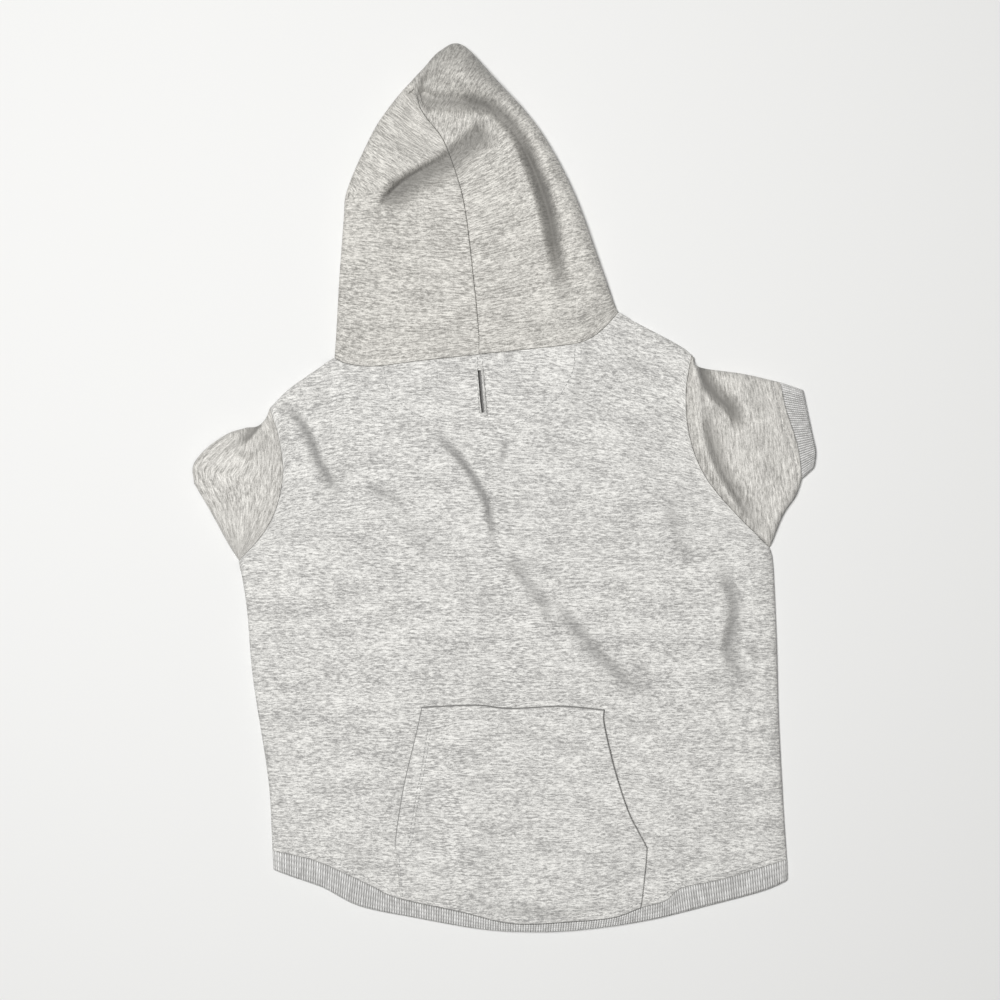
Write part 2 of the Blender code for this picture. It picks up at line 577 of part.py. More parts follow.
def hood_half(name, table, neck, side):
    """A half from the centre seam over the top to its rolled outline, and back below."""
    rows = np.linspace(0, 1, 19) ** 0.95
    along, edge, face, height = (
        Line([np.atleast_1d(getattr(row, column)) for row in table], by_row=True)(rows)
        for column in Section._fields)
    height = height[:, 0]
    seam = offset_line(Line(HOOD_SEAM)(along[:, 0]), side * GAP / 2)
    width = np.linalg.norm(edge - seam, axis=-1)
    scale = np.minimum(height / 6.5, 0.42 * width / ROLL[-1][0])
    u, share = lines_between(NINTHS, edge_lines(0 * rows, every=2),
                             edge_lines(1 + 0 * rows, scale), width, even=True)

    # Near the neck the rows bend to follow its seam, above and below.
    at_neck = Line(offset_line(neck(NINTHS), -side * GAP), by_row=True, smooth=False)
    fade = np.clip(1 - rows / 0.28, 0, 1)[:, None, None] ** 2
    chord = (edge - seam)[:, None]
    top = seam[:, None] + u[..., None] * chord
    top = top + fade * (at_neck(u) - seam[0] - u[..., None] * chord[0])
    back = np.linspace(0, 1, 7)[1:]
    fold = top[:, -1:]
    below = fold + back[:, None] * (face[:, None] - fold)
    below = below + fade * (at_neck(1 - back) - fold[0] - back[:, None] * (face[0] - fold[0]))

    steep = np.clip((u - 0.35) / 0.45, 0, 1)
    smooth = HOOD_Z + steep**2 * (3 - 2 * steep) * (height[:, None] - HOOD_Z)
    z = np.maximum(smooth + relief(top, HOOD_FOLDS), LOWEST_HOOD_Z)
    shell = np.concatenate([lifted(top, z * share), lifted(below, 0.0)], 1)
    plain = np.concatenate([lifted(top, smooth * share), lifted(below, 0.0)], 1)
    if side < 0:
        shell, plain = shell[:, ::-1], plain[:, ::-1]

    n = normals(plain)
    inner = shell - CLOTH * n
    for row, up in ((0, seam[1] - seam[0]), (-1, seam[-1] - seam[-2])):
        inner[row] = shell[row] - CLOTH * in_plane(n[row], np.tile(flat_unit(up), (len(n[row]), 1)))
    for column in (0, -1):
        on_ground = shell[3, column, 2] == 0
        inner[:, column] = shell[:, column] + [0, 0, CLOTH if on_ground else -CLOTH]
    inner[..., 2] = np.where(shell[..., 2] == 0, CLOTH, np.maximum(inner[..., 2], CLOTH))
    return wall(name, shell, inner, FLEECE_HOOD)


# ---- Right sleeve, and bands of rib -------------------------------------------------------------

def sleeve_right():
    """A flattened tube from the armhole to the cuff, with a flat underside."""
    rows = np.array([0, 0.03, 0.1, 0.2, 0.32, 0.44, 0.56, 0.68, 0.8, 0.9, 0.97, 1.0])
    root = Line(offset_line(right_armhole(TENTHS[::-1]), -GAP), smooth=False)
    seam = through(Line(RIGHT_CUFF_SEAM[::-1]), TENTHS)
    upper = Line([root(0), *RIGHT_SLEEVE_TOP[1:]])
    lower = Line([root(1), *RIGHT_SLEEVE_UNDER[1:]])
    length = np.linalg.norm(upper(rows) - lower(rows), axis=-1)
    edge = edge_lines(1 + 0 * rows, 1.15)
    u, share = lines_between(np.linspace(0, 1, 14), edge, edge, length, even=True)
    v = np.tile(rows[:, None], (1, u.shape[1]))
    xy = coons(root, seam, upper, lower, u, v)
    smooth = SLEEVE_Z * (1 - 0.42 * np.exp(-v / 0.05) - 0.2 * v**3)
    z = smooth + relief(xy, RIGHT_SLEEVE_FOLDS) * (1 - np.exp(-v / 0.06))
    below = np.tile(TENTHS[-2:0:-1], (len(rows), 1))
    under = lifted(coons(root, seam, upper, lower, below, v[:, :below.shape[1]]), 0.0)
    shell = np.concatenate([lifted(xy, np.maximum(z, SEAM_Z) * share), under], 1)
    plain = np.concatenate([lifted(xy, smooth * share), under], 1)

    n = normals(plain, closed=True)
    inner = shell - CLOTH * n
    u_round = np.concatenate([u, below], 1)
    for row, towards, line in ((0, 1, root), (1, 2, root), (-1, -2, seam), (-2, -3, seam)):
        out = square_to(line, u_round[row], flat_unit(plain[towards] - plain[row]))
        inner[row] = shell[row] - CLOTH * in_plane(n[row], out)
    inner[..., 2] = np.where(shell[..., 2] == 0, CLOTH, np.maximum(inner[..., 2], CLOTH + GAP))
    at = np.arange(shell.shape[1]) / shell.shape[1]
    return tube("sleeve_right", shell, at, inner, at, FLEECE)


def rib_ring(name, low_edge, high_edge, top, wales, coarse):
    """A flattened ring of rib: the ribs stand up on its top, over a plain inside."""
    rows, tops, ribbed = np.array(top).T
    (near,), (near_share,) = edge_lines(np.ones(1))
    near = near / low_edge.length
    steps = np.linspace(0, 1, 2 * wales + 1)
    middle = steps[(steps > near[-1] + 0.002) & (steps < 1 - near[-1] - 0.002)]
    across = np.concatenate([near, middle, 1 - near[::-1]])
    share = np.concatenate([near_share, np.ones(len(middle)), near_share[::-1]])
    groove = (np.arange(len(across)) % 2 == 0) * (share > 0.5)
    sunk = WALE_HEIGHT * ribbed[:, None] * groove

    def band(shares, z):
        low, high = low_edge(shares), high_edge(shares)
        return lifted(low + rows[:, None, None] * (high - low), z)

    def clear_of_ends(shares, distance):
        step = distance / low_edge.length
        return np.clip(shares, step, 1 - step)

    below = clear_of_ends(coarse[::-1], ROLL[0][0])[1:-1]
    outer = np.concatenate([band(across, (tops[:, None] - sunk) * share), band(below, 0.0)], 1)
    inside = clear_of_ends(coarse, ROLL[0][0] + RIB_WALL - 0.3)
    ceiling = tops[:, None] - WALE_HEIGHT - RIB_WALL + 0.25
    inner = np.concatenate([band(inside, ceiling), band(inside[::-1], RIB_WALL - 0.25)], 1)
    at_outer = np.concatenate([across, 2 - below]) / 2
    at_inner = np.concatenate([inside, 2 - inside[::-1]]) / 2
    return tube(name, outer, at_outer, inner[[0, -1]], at_inner, RIB)


def hem_rib():
    edge = Line(HEM_EDGE)
    seam = Line(offset_line(hem_seam(ACROSS), GAP), smooth=False)
    seam.at = ACROSS
    return rib_ring("hem_rib", edge, seam, HEM_TOP, round(edge.length / WALE), ACROSS)


def cuff_right():
    seam = Line(offset_line(Line(RIGHT_CUFF_SEAM[::-1])(TENTHS), -GAP), smooth=False)
    edge = Line(RIGHT_CUFF_EDGE[::-1])
    return rib_ring("cuff_right", seam, edge, CUFF_TOP, round(seam.length / WALE), TENTHS)


# ---- Left sleeve, with its end turned under -----------------------------------------------------

left_root = Line(offset_line(left_armhole(TENTHS), -GAP), smooth=False)
left_under = Line([left_root(0), *LEFT_SLEEVE_UNDER[1:]])
left_top = Line([left_root(1), *LEFT_SLEEVE_TOP[1:]])
left_fold = Line(LEFT_SLEEVE_FOLD)


def left_sleeve_plan(u, v):
    return coons(left_root, left_fold, left_under, left_top, u, v)


def out_length(u):
    """From the armhole to the fold, at a share from the armpit to the shoulder."""
    return left_under.length + u * (left_top.length - left_under.length)


def left_sleeve_height(v, u, folds):
    out = v * out_length(u)
    rise = SEAM_Z + (FOLDED_SLEEVE_Z - SEAM_Z) * (1 - np.exp(-out / 4.0))
    folded = relief(left_sleeve_plan(u, v), folds) * (1 - np.exp(-out / 5.0))
    return np.maximum(rise + folded, LOWEST_BODY_Z)


def sleeve_left():
    """From the armhole to the fold, rolled down all round."""
    outwards = np.linspace(0, 1, 8)
    rows = len(ROLL[::2]) + len(outwards[1:-1]) + len(ROLL)
    edge = edge_lines(np.ones(rows), 1.1)
    u, u_height = lines_between(np.linspace(0, 1, 12), edge, edge, left_root.length, even=True)
    crossing = np.ones(u.shape[1])
    v, v_height = lines_between(outwards, edge_lines(0 * crossing, every=2),
                                edge_lines(crossing, 1.1), out_length(u[0]), even=True)
    v, share = v.T, u_height * v_height.T
    xy = left_sleeve_plan(u, v)
    outer = lifted(xy, left_sleeve_height(v, u, LEFT_SLEEVE_FOLDS) * share)
    base = lifted(xy, left_sleeve_height(v, u, []) * share)
    edges = {"bottom": (left_root, u[0]), "top": (left_fold, u[-1]),
             "left": (left_under, v[:, 0]), "right": (left_top, v[:, -1])}
    rolled = {"left": 1, "right": 1, "top": 1}
    return wall("sleeve_left", outer, inner_face(outer, base, CLOTH, rolled, edges), FLEECE)


def cuff_left():
    """Turned under the sleeve, plain and flat, open towards the body."""
    u = np.linspace(*CUFF_REACH, 9)
    edges = [left_sleeve_plan(u, distance / out_length(u)) for distance in CUFF_FROM_ROOT]
    along = flat_unit(edges[0][-1] - edges[0][0])

    def ring(step_in):
        top = np.array(edges)
        top[:, 0] += step_in * along
        top[:, -1] -= step_in * along
        return np.concatenate([lifted(top, CUFF_LEFT_Z - step_in), lifted(top[:, ::-1], step_in)], 1)

    at = np.arange(2 * len(u)) / (2 * len(u))
    return tube("cuff_left", ring(0.0), at, ring(CUFF_LEFT_WALL), at, RIB)


def sleeve_left_layers():
    """The sleeve's lower layer and its turned-under end, as one rounded solid."""
    u = np.linspace(*LAYERS_REACH, 11)
    rows = [(out / out_length(u), below, above) for out, below, above in LAYERS_FROM_ROOT]
    rows += [(1 - out / out_length(u), below, above) for out, below, above in LAYERS_FROM_FOLD]
    v, below, above = (np.array([np.broadcast_to(row[k], u.shape) for row in rows])
                       for k in range(3))
    u = np.tile(u, (len(rows), 1))
    rounded = np.minimum(1, np.minimum(u - u[0, 0], u[0, -1] - u) / 0.06 + 0.82)
    room = left_sleeve_height(v, u, LEFT_SLEEVE_FOLDS) - CLOTH - 2 * GAP
    above = np.minimum(above, room) * rounded
    xy = left_sleeve_plan(u, v)
    return wall("sleeve_left_layers", lifted(xy, above),
                lifted(xy, np.minimum(below, above - 0.7)), FLEECE)


cut_slit(back_panel())
slit_binding()
belly_panel()
pocket()
hood_half("hood_left", HOOD_LEFT, Line(neck_left(NINTHS[::-1]), smooth=False), -1)
hood_half("hood_right", HOOD_RIGHT, Line(neck_right(NINTHS), smooth=False), 1)
sleeve_right()
cuff_right()
hem_rib()
sleeve_left()
cuff_left()
sleeve_left_layers()
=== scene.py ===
"""Pet hoodie in heather fleece, laid flat with its back up: the looks.

Metres in the scene, millimetres in the tables. X to the right sleeve, Y to the tip of the hood,
Z up. Every sheet of cloth is a closed shell: an outer grid of points and an inner one below it.
"""

from collections import namedtuple

import bpy
import numpy as np
from mathutils.bvhtree import BVHTree
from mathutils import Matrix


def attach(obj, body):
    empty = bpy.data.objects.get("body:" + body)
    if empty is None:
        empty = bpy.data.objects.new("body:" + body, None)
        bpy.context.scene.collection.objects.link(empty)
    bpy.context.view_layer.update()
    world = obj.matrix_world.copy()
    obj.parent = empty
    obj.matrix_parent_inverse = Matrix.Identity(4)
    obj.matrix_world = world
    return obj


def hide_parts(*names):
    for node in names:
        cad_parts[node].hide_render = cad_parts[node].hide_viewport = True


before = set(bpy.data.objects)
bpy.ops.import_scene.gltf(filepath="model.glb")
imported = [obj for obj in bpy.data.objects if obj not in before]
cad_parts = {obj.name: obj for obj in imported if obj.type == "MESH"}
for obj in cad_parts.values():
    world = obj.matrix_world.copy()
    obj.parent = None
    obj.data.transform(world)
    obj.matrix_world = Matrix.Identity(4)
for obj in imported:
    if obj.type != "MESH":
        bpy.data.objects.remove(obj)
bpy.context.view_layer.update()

# ---- Sizes, in mm ------------------------------------------------------------------------------

MM = 0.001
CLOTH = 1.8            # fleece wall
RIB_WALL = 1.7
LOWEST_INNER_Z = 0.2   # of the cloth's inner face over the floor
GAP = 0.12             # between two pieces at a seam
STEP = 1.5             # between two points of the body's grid
FINE_STEP = 1.3        # on the hood, the pocket and the sleeves

BODY_WIDTH = 310.0
BODY_Z = 5.1           # outer face of the back panel, where it lies flat
LOWEST_BODY_Z = 3.75
BELLY_INSET = 3.4      # of the belly panel from the body's sides
SLIT_SHADE = 5.0       # how far the dark below the slit reaches

POCKET_WIDTH = 142.0
POCKET_HEIGHT = 118.0
POCKET_LIFT = 0.4
POCKET_PUFF = 1.2

HOOD_LENGTH = 185.0    # along its outline, from the neck to the top
HOOD_SEAM_LENGTH = 165.0
HOOD_Z = 7.4           # at the centre seam
LOWEST_HOOD_Z = 4.0
NECK_RISE = 28.0       # how far from the neck the hood reaches its own height

SLEEVE_LENGTH = 68.0
SLEEVE_Z = 8.6
LOWEST_SLEEVE_Z = 3.7
FOLDED_SLEEVE_WIDTH = 90.0
FOLDED_SLEEVE_LENGTH = 40.0
FOLDED_SLEEVE_Z = 9.4
LOWEST_FOLDED_Z = 3.9
FOLDED_EDGE = 5.5      # how far the folded sleeve's rounded edge reaches in

WALE = 1.5             # pitch of the rib
WALE_HEIGHT = 0.5
WALE_POINTS = 8        # across one wale

STITCH_PITCH = 2.7
STITCH_LENGTH = 2.0
THREAD_WIDTH = 0.5
STITCH_LIFT = 0.1      # of the thread's middle above the cloth
HEM_STITCH_INSET = 3.3
DOUBLE_SPACING = 1.8   # between the two lines of a double row of stitches

ON_FLOOR = 0.01        # whatever lies lower is cloth's underside on the floor

# How a rolled edge curls from its underside to the flat, and how a sewn one dips into its seam:
# how far in, and the share of the height there.
ROLLED_EDGE = [
    (2.6, 0.00), (1.3, 0.02), (0.45, 0.12), (0.0, 0.32), (0.15, 0.52), (0.8, 0.72),
    (2.0, 0.87), (3.8, 0.96), (6.0, 1.00),
]
SEWN_EDGE = [
    (0.0, 0.86), (0.15, 0.92), (0.4, 0.95), (0.8, 0.97), (1.4, 0.98), (2.2, 0.988),
    (3.2, 0.994), (4.5, 0.998), (6.0, 1.00),
]
EDGE_LINES = 15        # points across an edge
EDGE_REACH = ROLLED_EDGE[-1][0]

# ---- Outlines as seen from above, (x, y) in mm, left to right or bottom to top -------------------

HEM_SEAM = [
    (-139.0, -217.2), (-115.4, -222.5), (-97.6, -229.7), (-79.8, -238.1), (-64.0, -245.6),
    (-25.5, -254.1), (6.0, -261.2), (40.4, -260.0), (66.0, -257.4), (82.1, -251.6),
    (97.1, -247.3), (107.4, -239.5), (132.8, -234.0), (170.2, -222.4),
]
HEM_EDGE = [
    (-138.4, -229.0), (-126.5, -233.4), (-108.7, -239.7), (-86.5, -250.8), (-53.2, -257.7),
    (-16.6, -264.2), (9.2, -266.0), (40.4, -265.4), (84.7, -259.6), (126.2, -249.6),
    (155.0, -241.8), (170.6, -235.4),
]
LEFT_SIDE = [
    (-139.0, -217.2), (-141.5, -174.8), (-150.6, -114.8), (-154.4, -72.2), (-159.0, -43.4),
]
LEFT_ARMHOLE = [
    (-159.0, -43.4), (-145.2, -28.1), (-136.6, -12.0), (-132.5, 9.5), (-135.2, 31.0),
    (-140.6, 48.4),
]
RIGHT_SIDE = [
    (170.2, -222.4), (168.0, -190.4), (165.2, -138.8), (163.9, -90.8), (162.0, -46.8),
    (159.8, -35.0),
]
RIGHT_ARMHOLE = [
    (159.8, -35.0), (140.4, -16.2), (121.4, 6.7), (111.5, 31.6), (109.5, 58.0), (113.0, 80.6),
]
LEFT_SHOULDER = [(-140.6, 48.4), (-129.2, 59.8), (-110.4, 73.1), (-101.8, 78.6)]
NECK_LEFT = [(-101.8, 78.6), (-94.4, 75.2), (-78.4, 73.4), (-51.5, 76.6), (-14.8, 80.6)]
NECK_RIGHT = [
    (-14.8, 80.6), (15.6, 83.8), (43.1, 87.1), (53.9, 91.4), (61.4, 97.6), (69.0, 106.0),
]
RIGHT_SHOULDER = [(69.0, 106.0), (78.3, 100.6), (104.4, 86.8), (113.0, 80.6)]
RIGHT_SLEEVE_TOP = [(113.0, 80.6), (117.5, 73.2), (144.4, 68.9), (165.8, 64.0)]
RIGHT_SLEEVE_UNDER = [(159.8, -35.0), (167.3, -16.2), (175.2, -4.3), (178.9, 6.0)]
RIGHT_CUFF_SEAM = [(178.9, 6.0), (176.2, 25.6), (169.2, 47.5), (165.8, 64.0)]
RIGHT_CUFF_EDGE = [(186.4, 12.6), (187.4, 22.6), (185.6, 31.6), (181.4, 51.5), (179.9, 59.4)]
LEFT_SLEEVE_UNDER = [(-159.0, -43.4), (-165.4, -33.4), (-176.0, -14.0), (-186.0, 3.0)]
LEFT_SLEEVE_FOLD = [(-186.0, 3.0), (-186.6, 14.0), (-178.7, 24.2), (-166.0, 33.0), (-154.6, 36.7)]
LEFT_SLEEVE_TOP = [(-140.6, 48.4), (-143.2, 42.0), (-148.0, 37.6), (-154.6, 36.7)]
POCKET_TOP = [(-49.2, -130.5), (-16.8, -129.2), (3.8, -131.2), (34.9, -130.0), (60.4, -132.4)]
POCKET_LEFT = [
    (-61.8, -245.6), (-62.9, -236.5), (-64.2, -219.0), (-65.2, -213.0), (-63.3, -197.4),
    (-60.2, -179.0), (-56.6, -163.1), (-52.4, -145.8), (-49.2, -130.8),
]
POCKET_RIGHT = [
    (82.2, -251.2), (83.8, -238.8), (85.8, -217.5), (85.2, -213.6), (80.6, -205.2),
    (75.0, -194.0), (69.4, -177.8), (65.2, -163.1), (61.0, -145.0), (59.9, -137.5),
    (60.4, -132.4),
]
SLIT = [(-14.6, 71.0), (-13.7, 60.8), (-12.9, 51.2), (-12.2, 45.8)]
SLIT_WIDTH = 1.8
HALF_MOON = [
    (42.8, 83.0), (41.6, 71.5), (36.8, 61.0), (32.3, 54.4), (27.8, 51.0), (12.0, 41.0),
    (-10.0, 36.0), (-36.0, 39.0), (-54.0, 45.5), (-64.0, 53.5), (-70.2, 62.2), (-71.8, 72.0),
]
HOOD_SEAM = [
    (-14.8, 80.6), (-15.0, 94.6), (-17.4, 120.4), (-22.7, 164.9), (-28.1, 187.8),
    (-36.5, 209.2), (-48.8, 225.8), (-52.0, 236.0),
]

# The hood's halves, a row for each section from the neck to the top: its place along the centre
# seam, its points on the rolled outline and on the edge of the face opening, and its height.
Section = namedtuple("Section", "along_seam edge face height")
HOOD_LEFT = [
    Section(0.00, (-101.8, 78.6), (-15.0, 80.6), 7.0),
    Section(0.09, (-100.4, 97.6), (-34.0, 99.0), 8.5),
    Section(0.25, (-98.6, 128.2), (-52.0, 127.0), 9.5),
    Section(0.49, (-96.0, 163.0), (-55.0, 162.0), 10.0),
    Section(0.56, (-95.3, 174.0), (-53.0, 173.0), 11.0),
    Section(0.62, (-92.2, 184.4), (-51.0, 182.0), 11.3),
    Section(0.69, (-86.4, 198.0), (-50.0, 193.0), 11.5),
    Section(0.81, (-76.6, 217.6), (-49.0, 212.0), 11.5),
    Section(0.93, (-67.0, 231.4), (-54.5, 226.0), 10.0),
    Section(1.00, (-60.6, 239.3), (-56.8, 237.6), 8.5),
]
HOOD_RIGHT = [
    Section(0.00, (69.0, 106.0), (-14.4, 80.6), 7.5),
    Section(0.09, (66.0, 112.0), (6.0, 98.0), 11.0),
    Section(0.25, (57.0, 137.0), (18.0, 128.0), 13.0),
    Section(0.49, (41.0, 180.0), (8.0, 168.0), 13.5),
    Section(0.67, (20.0, 217.5), (-8.0, 200.0), 14.0),
    Section(0.81, (-4.0, 244.4), (-24.0, 222.0), 15.0),
    Section(0.93, (-24.8, 266.0), (-40.0, 240.0), 16.0),
    Section(0.96, (-38.2, 262.4), (-44.5, 243.0), 15.5),
    Section(0.98, (-48.0, 252.0), (-50.0, 242.5), 13.0),
    Section(1.00, (-60.55, 239.42), (-56.4, 238.0), 8.5),
]

# ---- Folds ---------------------------------------------------------------------------------------
# A row each: the path, how far its middle rises or sinks, its half width on the left and on the
# right of the path, how round its middle is (2 soft, 1 sharp), what is left of it at its ends,
# how much the cloth beside it goes the other way, and how dark the shade painted on its middle is.

Fold = namedtuple("Fold", "path middle left right round start end beside pinch",
                  defaults=(2.0, 0.0, 0.0, 0.0, 0.0))
FADE = 0.3             # share of a fold's length over which its end dies away
BESIDE_REACH = 3.0     # half widths from its middle that the cloth beside it gives way
BODY_FOLDS = [
    Fold([(-44.4, 40.6), (-32.8, 25.3), (-20.8, 10.8), (-11.2, -6.0), (-7.6, -20.5),
          (-5.2, -39.4)], -1.5, 4.0, 4.0, 1.3, 0, 0.2, 0.9, 1.0),
    Fold([(-34.0, 38.0), (-12.0, 12.0), (-1.0, -22.0)], 0.7, 9, 14),
    Fold([(-3.6, -39.2), (8.0, -49.4), (15.2, -59.0), (24.8, -71.0), (27.5, -85.0)],
         -1.5, 8, 5.0, 1.3, 0, 0, 0.7, 0.55),
    Fold([(27.9, -63.2), (41.9, -80.6), (54.0, -95.0), (66.0, -107.3), (75.7, -118.2),
          (87.4, -119.4)], -1.5, 5.5, 10, 1.4, 0, 0.4, 0.5, 0.6),
    Fold([(44.0, -68.0), (62.0, -90.0), (88.0, -110.0)], 2.2, 14, 18),
    Fold([(-130.6, 50.8), (-118.6, 35.2), (-110.2, 15.6), (-100.3, -1.2), (-96.7, -9.7)],
         -1.6, 4.2, 6.4, 1.3, 0.5, 0, 0.8, 0.85),
    Fold([(-122.0, 52.0), (-106.0, 28.0), (-92.0, 2.0)], 1.2, 9, 14, 2, 0.6, 0),
    Fold([(-84.6, 6.0), (-76.2, -1.2), (-60.5, -8.5), (-56.9, -13.3)],
         -1.1, 5, 4, 1.4, 0, 0, 0.6, 0.45),
    Fold([(-65.2, -18.8), (-52.0, -30.0), (-38.2, -42.8)], -1.1, 9, 9, 1.6, 0, 0, 0.5, 0.25),
    Fold([(99.8, -1.2), (102.2, -18.1), (107.0, -32.6), (114.2, -49.4)],
         -1.2, 8, 6, 1.5, 0, 0, 0.6, 0.3),
    Fold([(127.4, -37.8), (133.4, -54.2), (138.2, -68.6), (137.0, -83.0), (134.6, -97.4),
          (140.6, -109.7), (150.2, -124.2)], -1.6, 9, 6.0, 1.4, 0, 0, 0.8, 0.7),
    Fold([(116.0, -44.0), (124.0, -70.0), (122.0, -100.0)], 1.5, 14, 14),
    Fold([(145.4, -95.0), (155.0, -104.6)], -1.2, 4, 3.6, 1.4, 0, 0, 0.6, 0.5),
    Fold([(2.0, 32.5), (-0.4, 13.2)], -0.9, 3, 3, 1.4, 0, 0, 0.5, 0.5),
    Fold([(51.6, 82.0), (46.8, 59.2), (42.0, 37.6)], -1.1, 8, 7, 1.5, 0.6, 0, 0.6, 0.12),
    Fold([(69.8, 96.0), (78.0, 80.0), (87.8, 66.0)], -1.0, 9, 7, 1.5, 0.6, 0, 0.6, 0.1),
    Fold([(-112.0, 62.0), (-106.0, 48.0)], -1.2, 8, 8, 2, 0, 0, 0.4, 0.15),
    Fold([(-96.0, -210.0), (-84.0, -226.0), (-70.0, -234.0)], -1.1, 6, 6, 1.5, 0, 0, 0.5, 0.15),
    Fold([(-134.0, -205.0), (-146.0, -115.0), (-152.0, -52.0)], 1.3, 20, 16),
    Fold([(162.0, -205.0), (158.0, -115.0), (156.0, -52.0)], 1.4, 16, 20),
    Fold([(-24.0, -243.0), (8.0, -247.5), (40.0, -248.0), (70.0, -243.0)], 3.0, 16, 9),
    Fold([(-60.0, -60.0), (-20.0, -100.0), (60.0, -150.0)], 0.7, 50, 60),
    # Beside the pocket's top and along its left side, where its seam pulls the body in.
    Fold([(-50.5, -129.6), (-16.8, -128.0), (3.8, -129.9), (34.9, -128.7), (61.0, -130.8)],
         -0.9, 1.9, 2.6, 2, 1, 1),
    Fold([(-66.6, -212.0), (-63.6, -240.0)], -0.8, 2.4, 2.4, 2, 1, 0.6),
    # The stitches of the half-moon facing.
    Fold([(42.8, 86.0), *HALF_MOON[1:-1], (-72.0, 74.0)], -0.35, 2.2, 2.2, 2, 1, 1),
]
HOOD_FOLDS = [
    # The valley below the tip and beside the right roll, and the rolls themselves.
    Fold([(-49.0, 235.0), (-44.0, 232.0), (-30.4, 231.8), (-15.0, 230.2), (-2.0, 224.0),
          (8.5, 212.3), (16.6, 195.5), (22.7, 180.2), (27.3, 164.9), (30.4, 146.5),
          (33.4, 131.2), (37.0, 115.9), (43.1, 99.0)], -8.6, 6.5, 8.0, 1.5, 0.7, 0, 0, 1.0),
    # The tip curves away and lies in its own shade, painted on its cloth; this row raises nothing.
    Fold([(8.0, 236.0), (-10.0, 252.0), (-28.0, 262.0), (-46.0, 254.0)],
         0.0, 24, 24, 2, 0.4, 0.8, 0, 0.5),
    Fold([(58.0, 106.0), (51.0, 132.0), (41.5, 158.0), (32.0, 180.0), (20.0, 203.0),
          (4.0, 223.0), (-12.0, 238.0)], 4.0, 11, 11, 2, 0, 0.8),
    Fold([(4.0, 233.0), (-12.0, 242.0), (-30.0, 245.5), (-46.0, 245.0)], 6.2, 12, 17, 2, 0.6, 0.5),
    Fold([(-10.0, 220.0), (3.0, 207.0), (13.0, 186.0), (19.5, 160.0), (23.0, 138.0)],
         3.6, 6.5, 22, 2, 0.5, 0),
    Fold([(-47.0, 237.0), (-44.0, 233.0)], -3.0, 5, 5, 2, 1, 1),
    Fold([(-46.0, 221.0), (-50.2, 229.0), (-52.0, 238.0), (-51.0, 246.0)], 2.6, 2.6, 5, 2, 0.2, 0.3),
    # The upper left hangs over a valley that crosses the centre seam.
    Fold([(-76.0, 166.0), (-68.0, 177.0), (-58.0, 185.4), (-45.4, 192.6), (-31.9, 199.2)],
         -6.4, 2.2, 15, 2.4, 0, 0.9, 0, 0.85),
    Fold([(-80.0, 170.5), (-70.5, 182.0), (-60.0, 189.6), (-47.0, 196.8), (-33.0, 203.5)],
         5.4, 22, 5.0, 2, 0, 0.6),
    Fold([(-31.9, 199.2), (-20.2, 208.2), (-9.0, 217.0)], -5.2, 7, 14, 2.2, 0.9, 0.3, 0, 0.8),
    Fold([(-36.0, 214.0), (-22.0, 221.0), (-10.0, 224.0)], 2.4, 7, 9, 2, 0.4, 0.2),
    Fold([(-56.0, 224.0), (-66.0, 208.0)], -1.4, 8, 8),
    Fold([(-86.8, 181.6), (-88.5, 166.0), (-88.0, 151.0)], -1.2, 7, 7),
    Fold([(-88.0, 142.0), (-80.8, 128.2)], -0.8, 3, 4, 1.4),
    Fold([(-93.0, 104.0), (-88.0, 94.0), (-79.6, 82.0)], -1.2, 7, 7, 1.7),
    Fold([(-70.0, 120.0), (-66.0, 165.0)], 1.4, 30, 30),
]
RIGHT_SLEEVE_FOLDS = [
    Fold([(118.2, 75.0), (120.4, 67.5), (123.6, 60.6), (129.0, 54.0), (135.4, 48.0),
          (139.0, 41.0), (136.0, 33.0)], -6.2, 8, 4.4, 1.8, 1, 0, 0, 1.0),
    Fold([(128.0, 48.0), (123.6, 38.0), (126.6, 24.0), (132.0, 10.0), (142.0, -7.6),
          (152.0, -22.6)], -4.0, 8, 6.0, 1.5, 0.3, 0.6, 0, 0.7),
    Fold([(114.0, 78.0), (115.4, 60.0), (117.4, 38.0), (122.0, 18.0), (133.4, -2.0),
          (149.0, -22.0)], 3.4, 5.5, 4.6, 2, 0.8, 0.3),
    Fold([(131.0, 69.0), (140.0, 60.0), (149.0, 44.0), (148.0, 22.0)], 3.2, 12, 10),
    Fold([(150.0, 20.0), (152.0, -4.0)], 1.4, 12, 12),
    Fold([(160.0, 52.0), (166.0, 20.0)], 1.0, 12, 12),
    Fold([(160.8, 66.0), (164.2, 49.6), (167.3, 37.6), (171.2, 27.6), (175.2, 15.6),
          (176.4, 4.0)], -0.9, 1.6, 1.6, 2, 0.8, 0.8),
]
LEFT_SLEEVE_FOLDS = [
    Fold([(-146.4, 38.0), (-151.5, 31.5), (-156.5, 26.8)], -2.0, 2.0, 8, 1.6, 0.9, 0.5, 0, 0.9),
    Fold([(-143.0, 33.0), (-149.0, 26.5), (-154.0, 22.5)], 2.0, 8, 3.4),
    Fold([(-160.5, 24.5), (-154.0, 19.6), (-146.5, 19.0)], -1.4, 3.6, 3.6, 1.5, 0, 0, 0.5, 0.4),
    Fold([(-172.0, 6.0), (-150.0, 8.0)], 1.2, 22, 22),
]

# The rib's top from one edge of the band to the other: share across, height, ribbed.
HEM_TOP = [
    (0.00, 2.9, 0), (0.03, 3.9, 0), (0.08, 4.9, 0.7), (0.18, 5.5, 1), (0.90, 5.2, 1),
    (1.00, 4.4, 0.3),
]
CUFF_TOP = [
    (0.00, 5.4, 0.3), (0.10, 6.8, 1), (0.50, 6.6, 1), (0.85, 6.0, 1), (0.94, 5.2, 0.7),
    (0.98, 4.2, 0), (1.00, 3.2, 0),
]
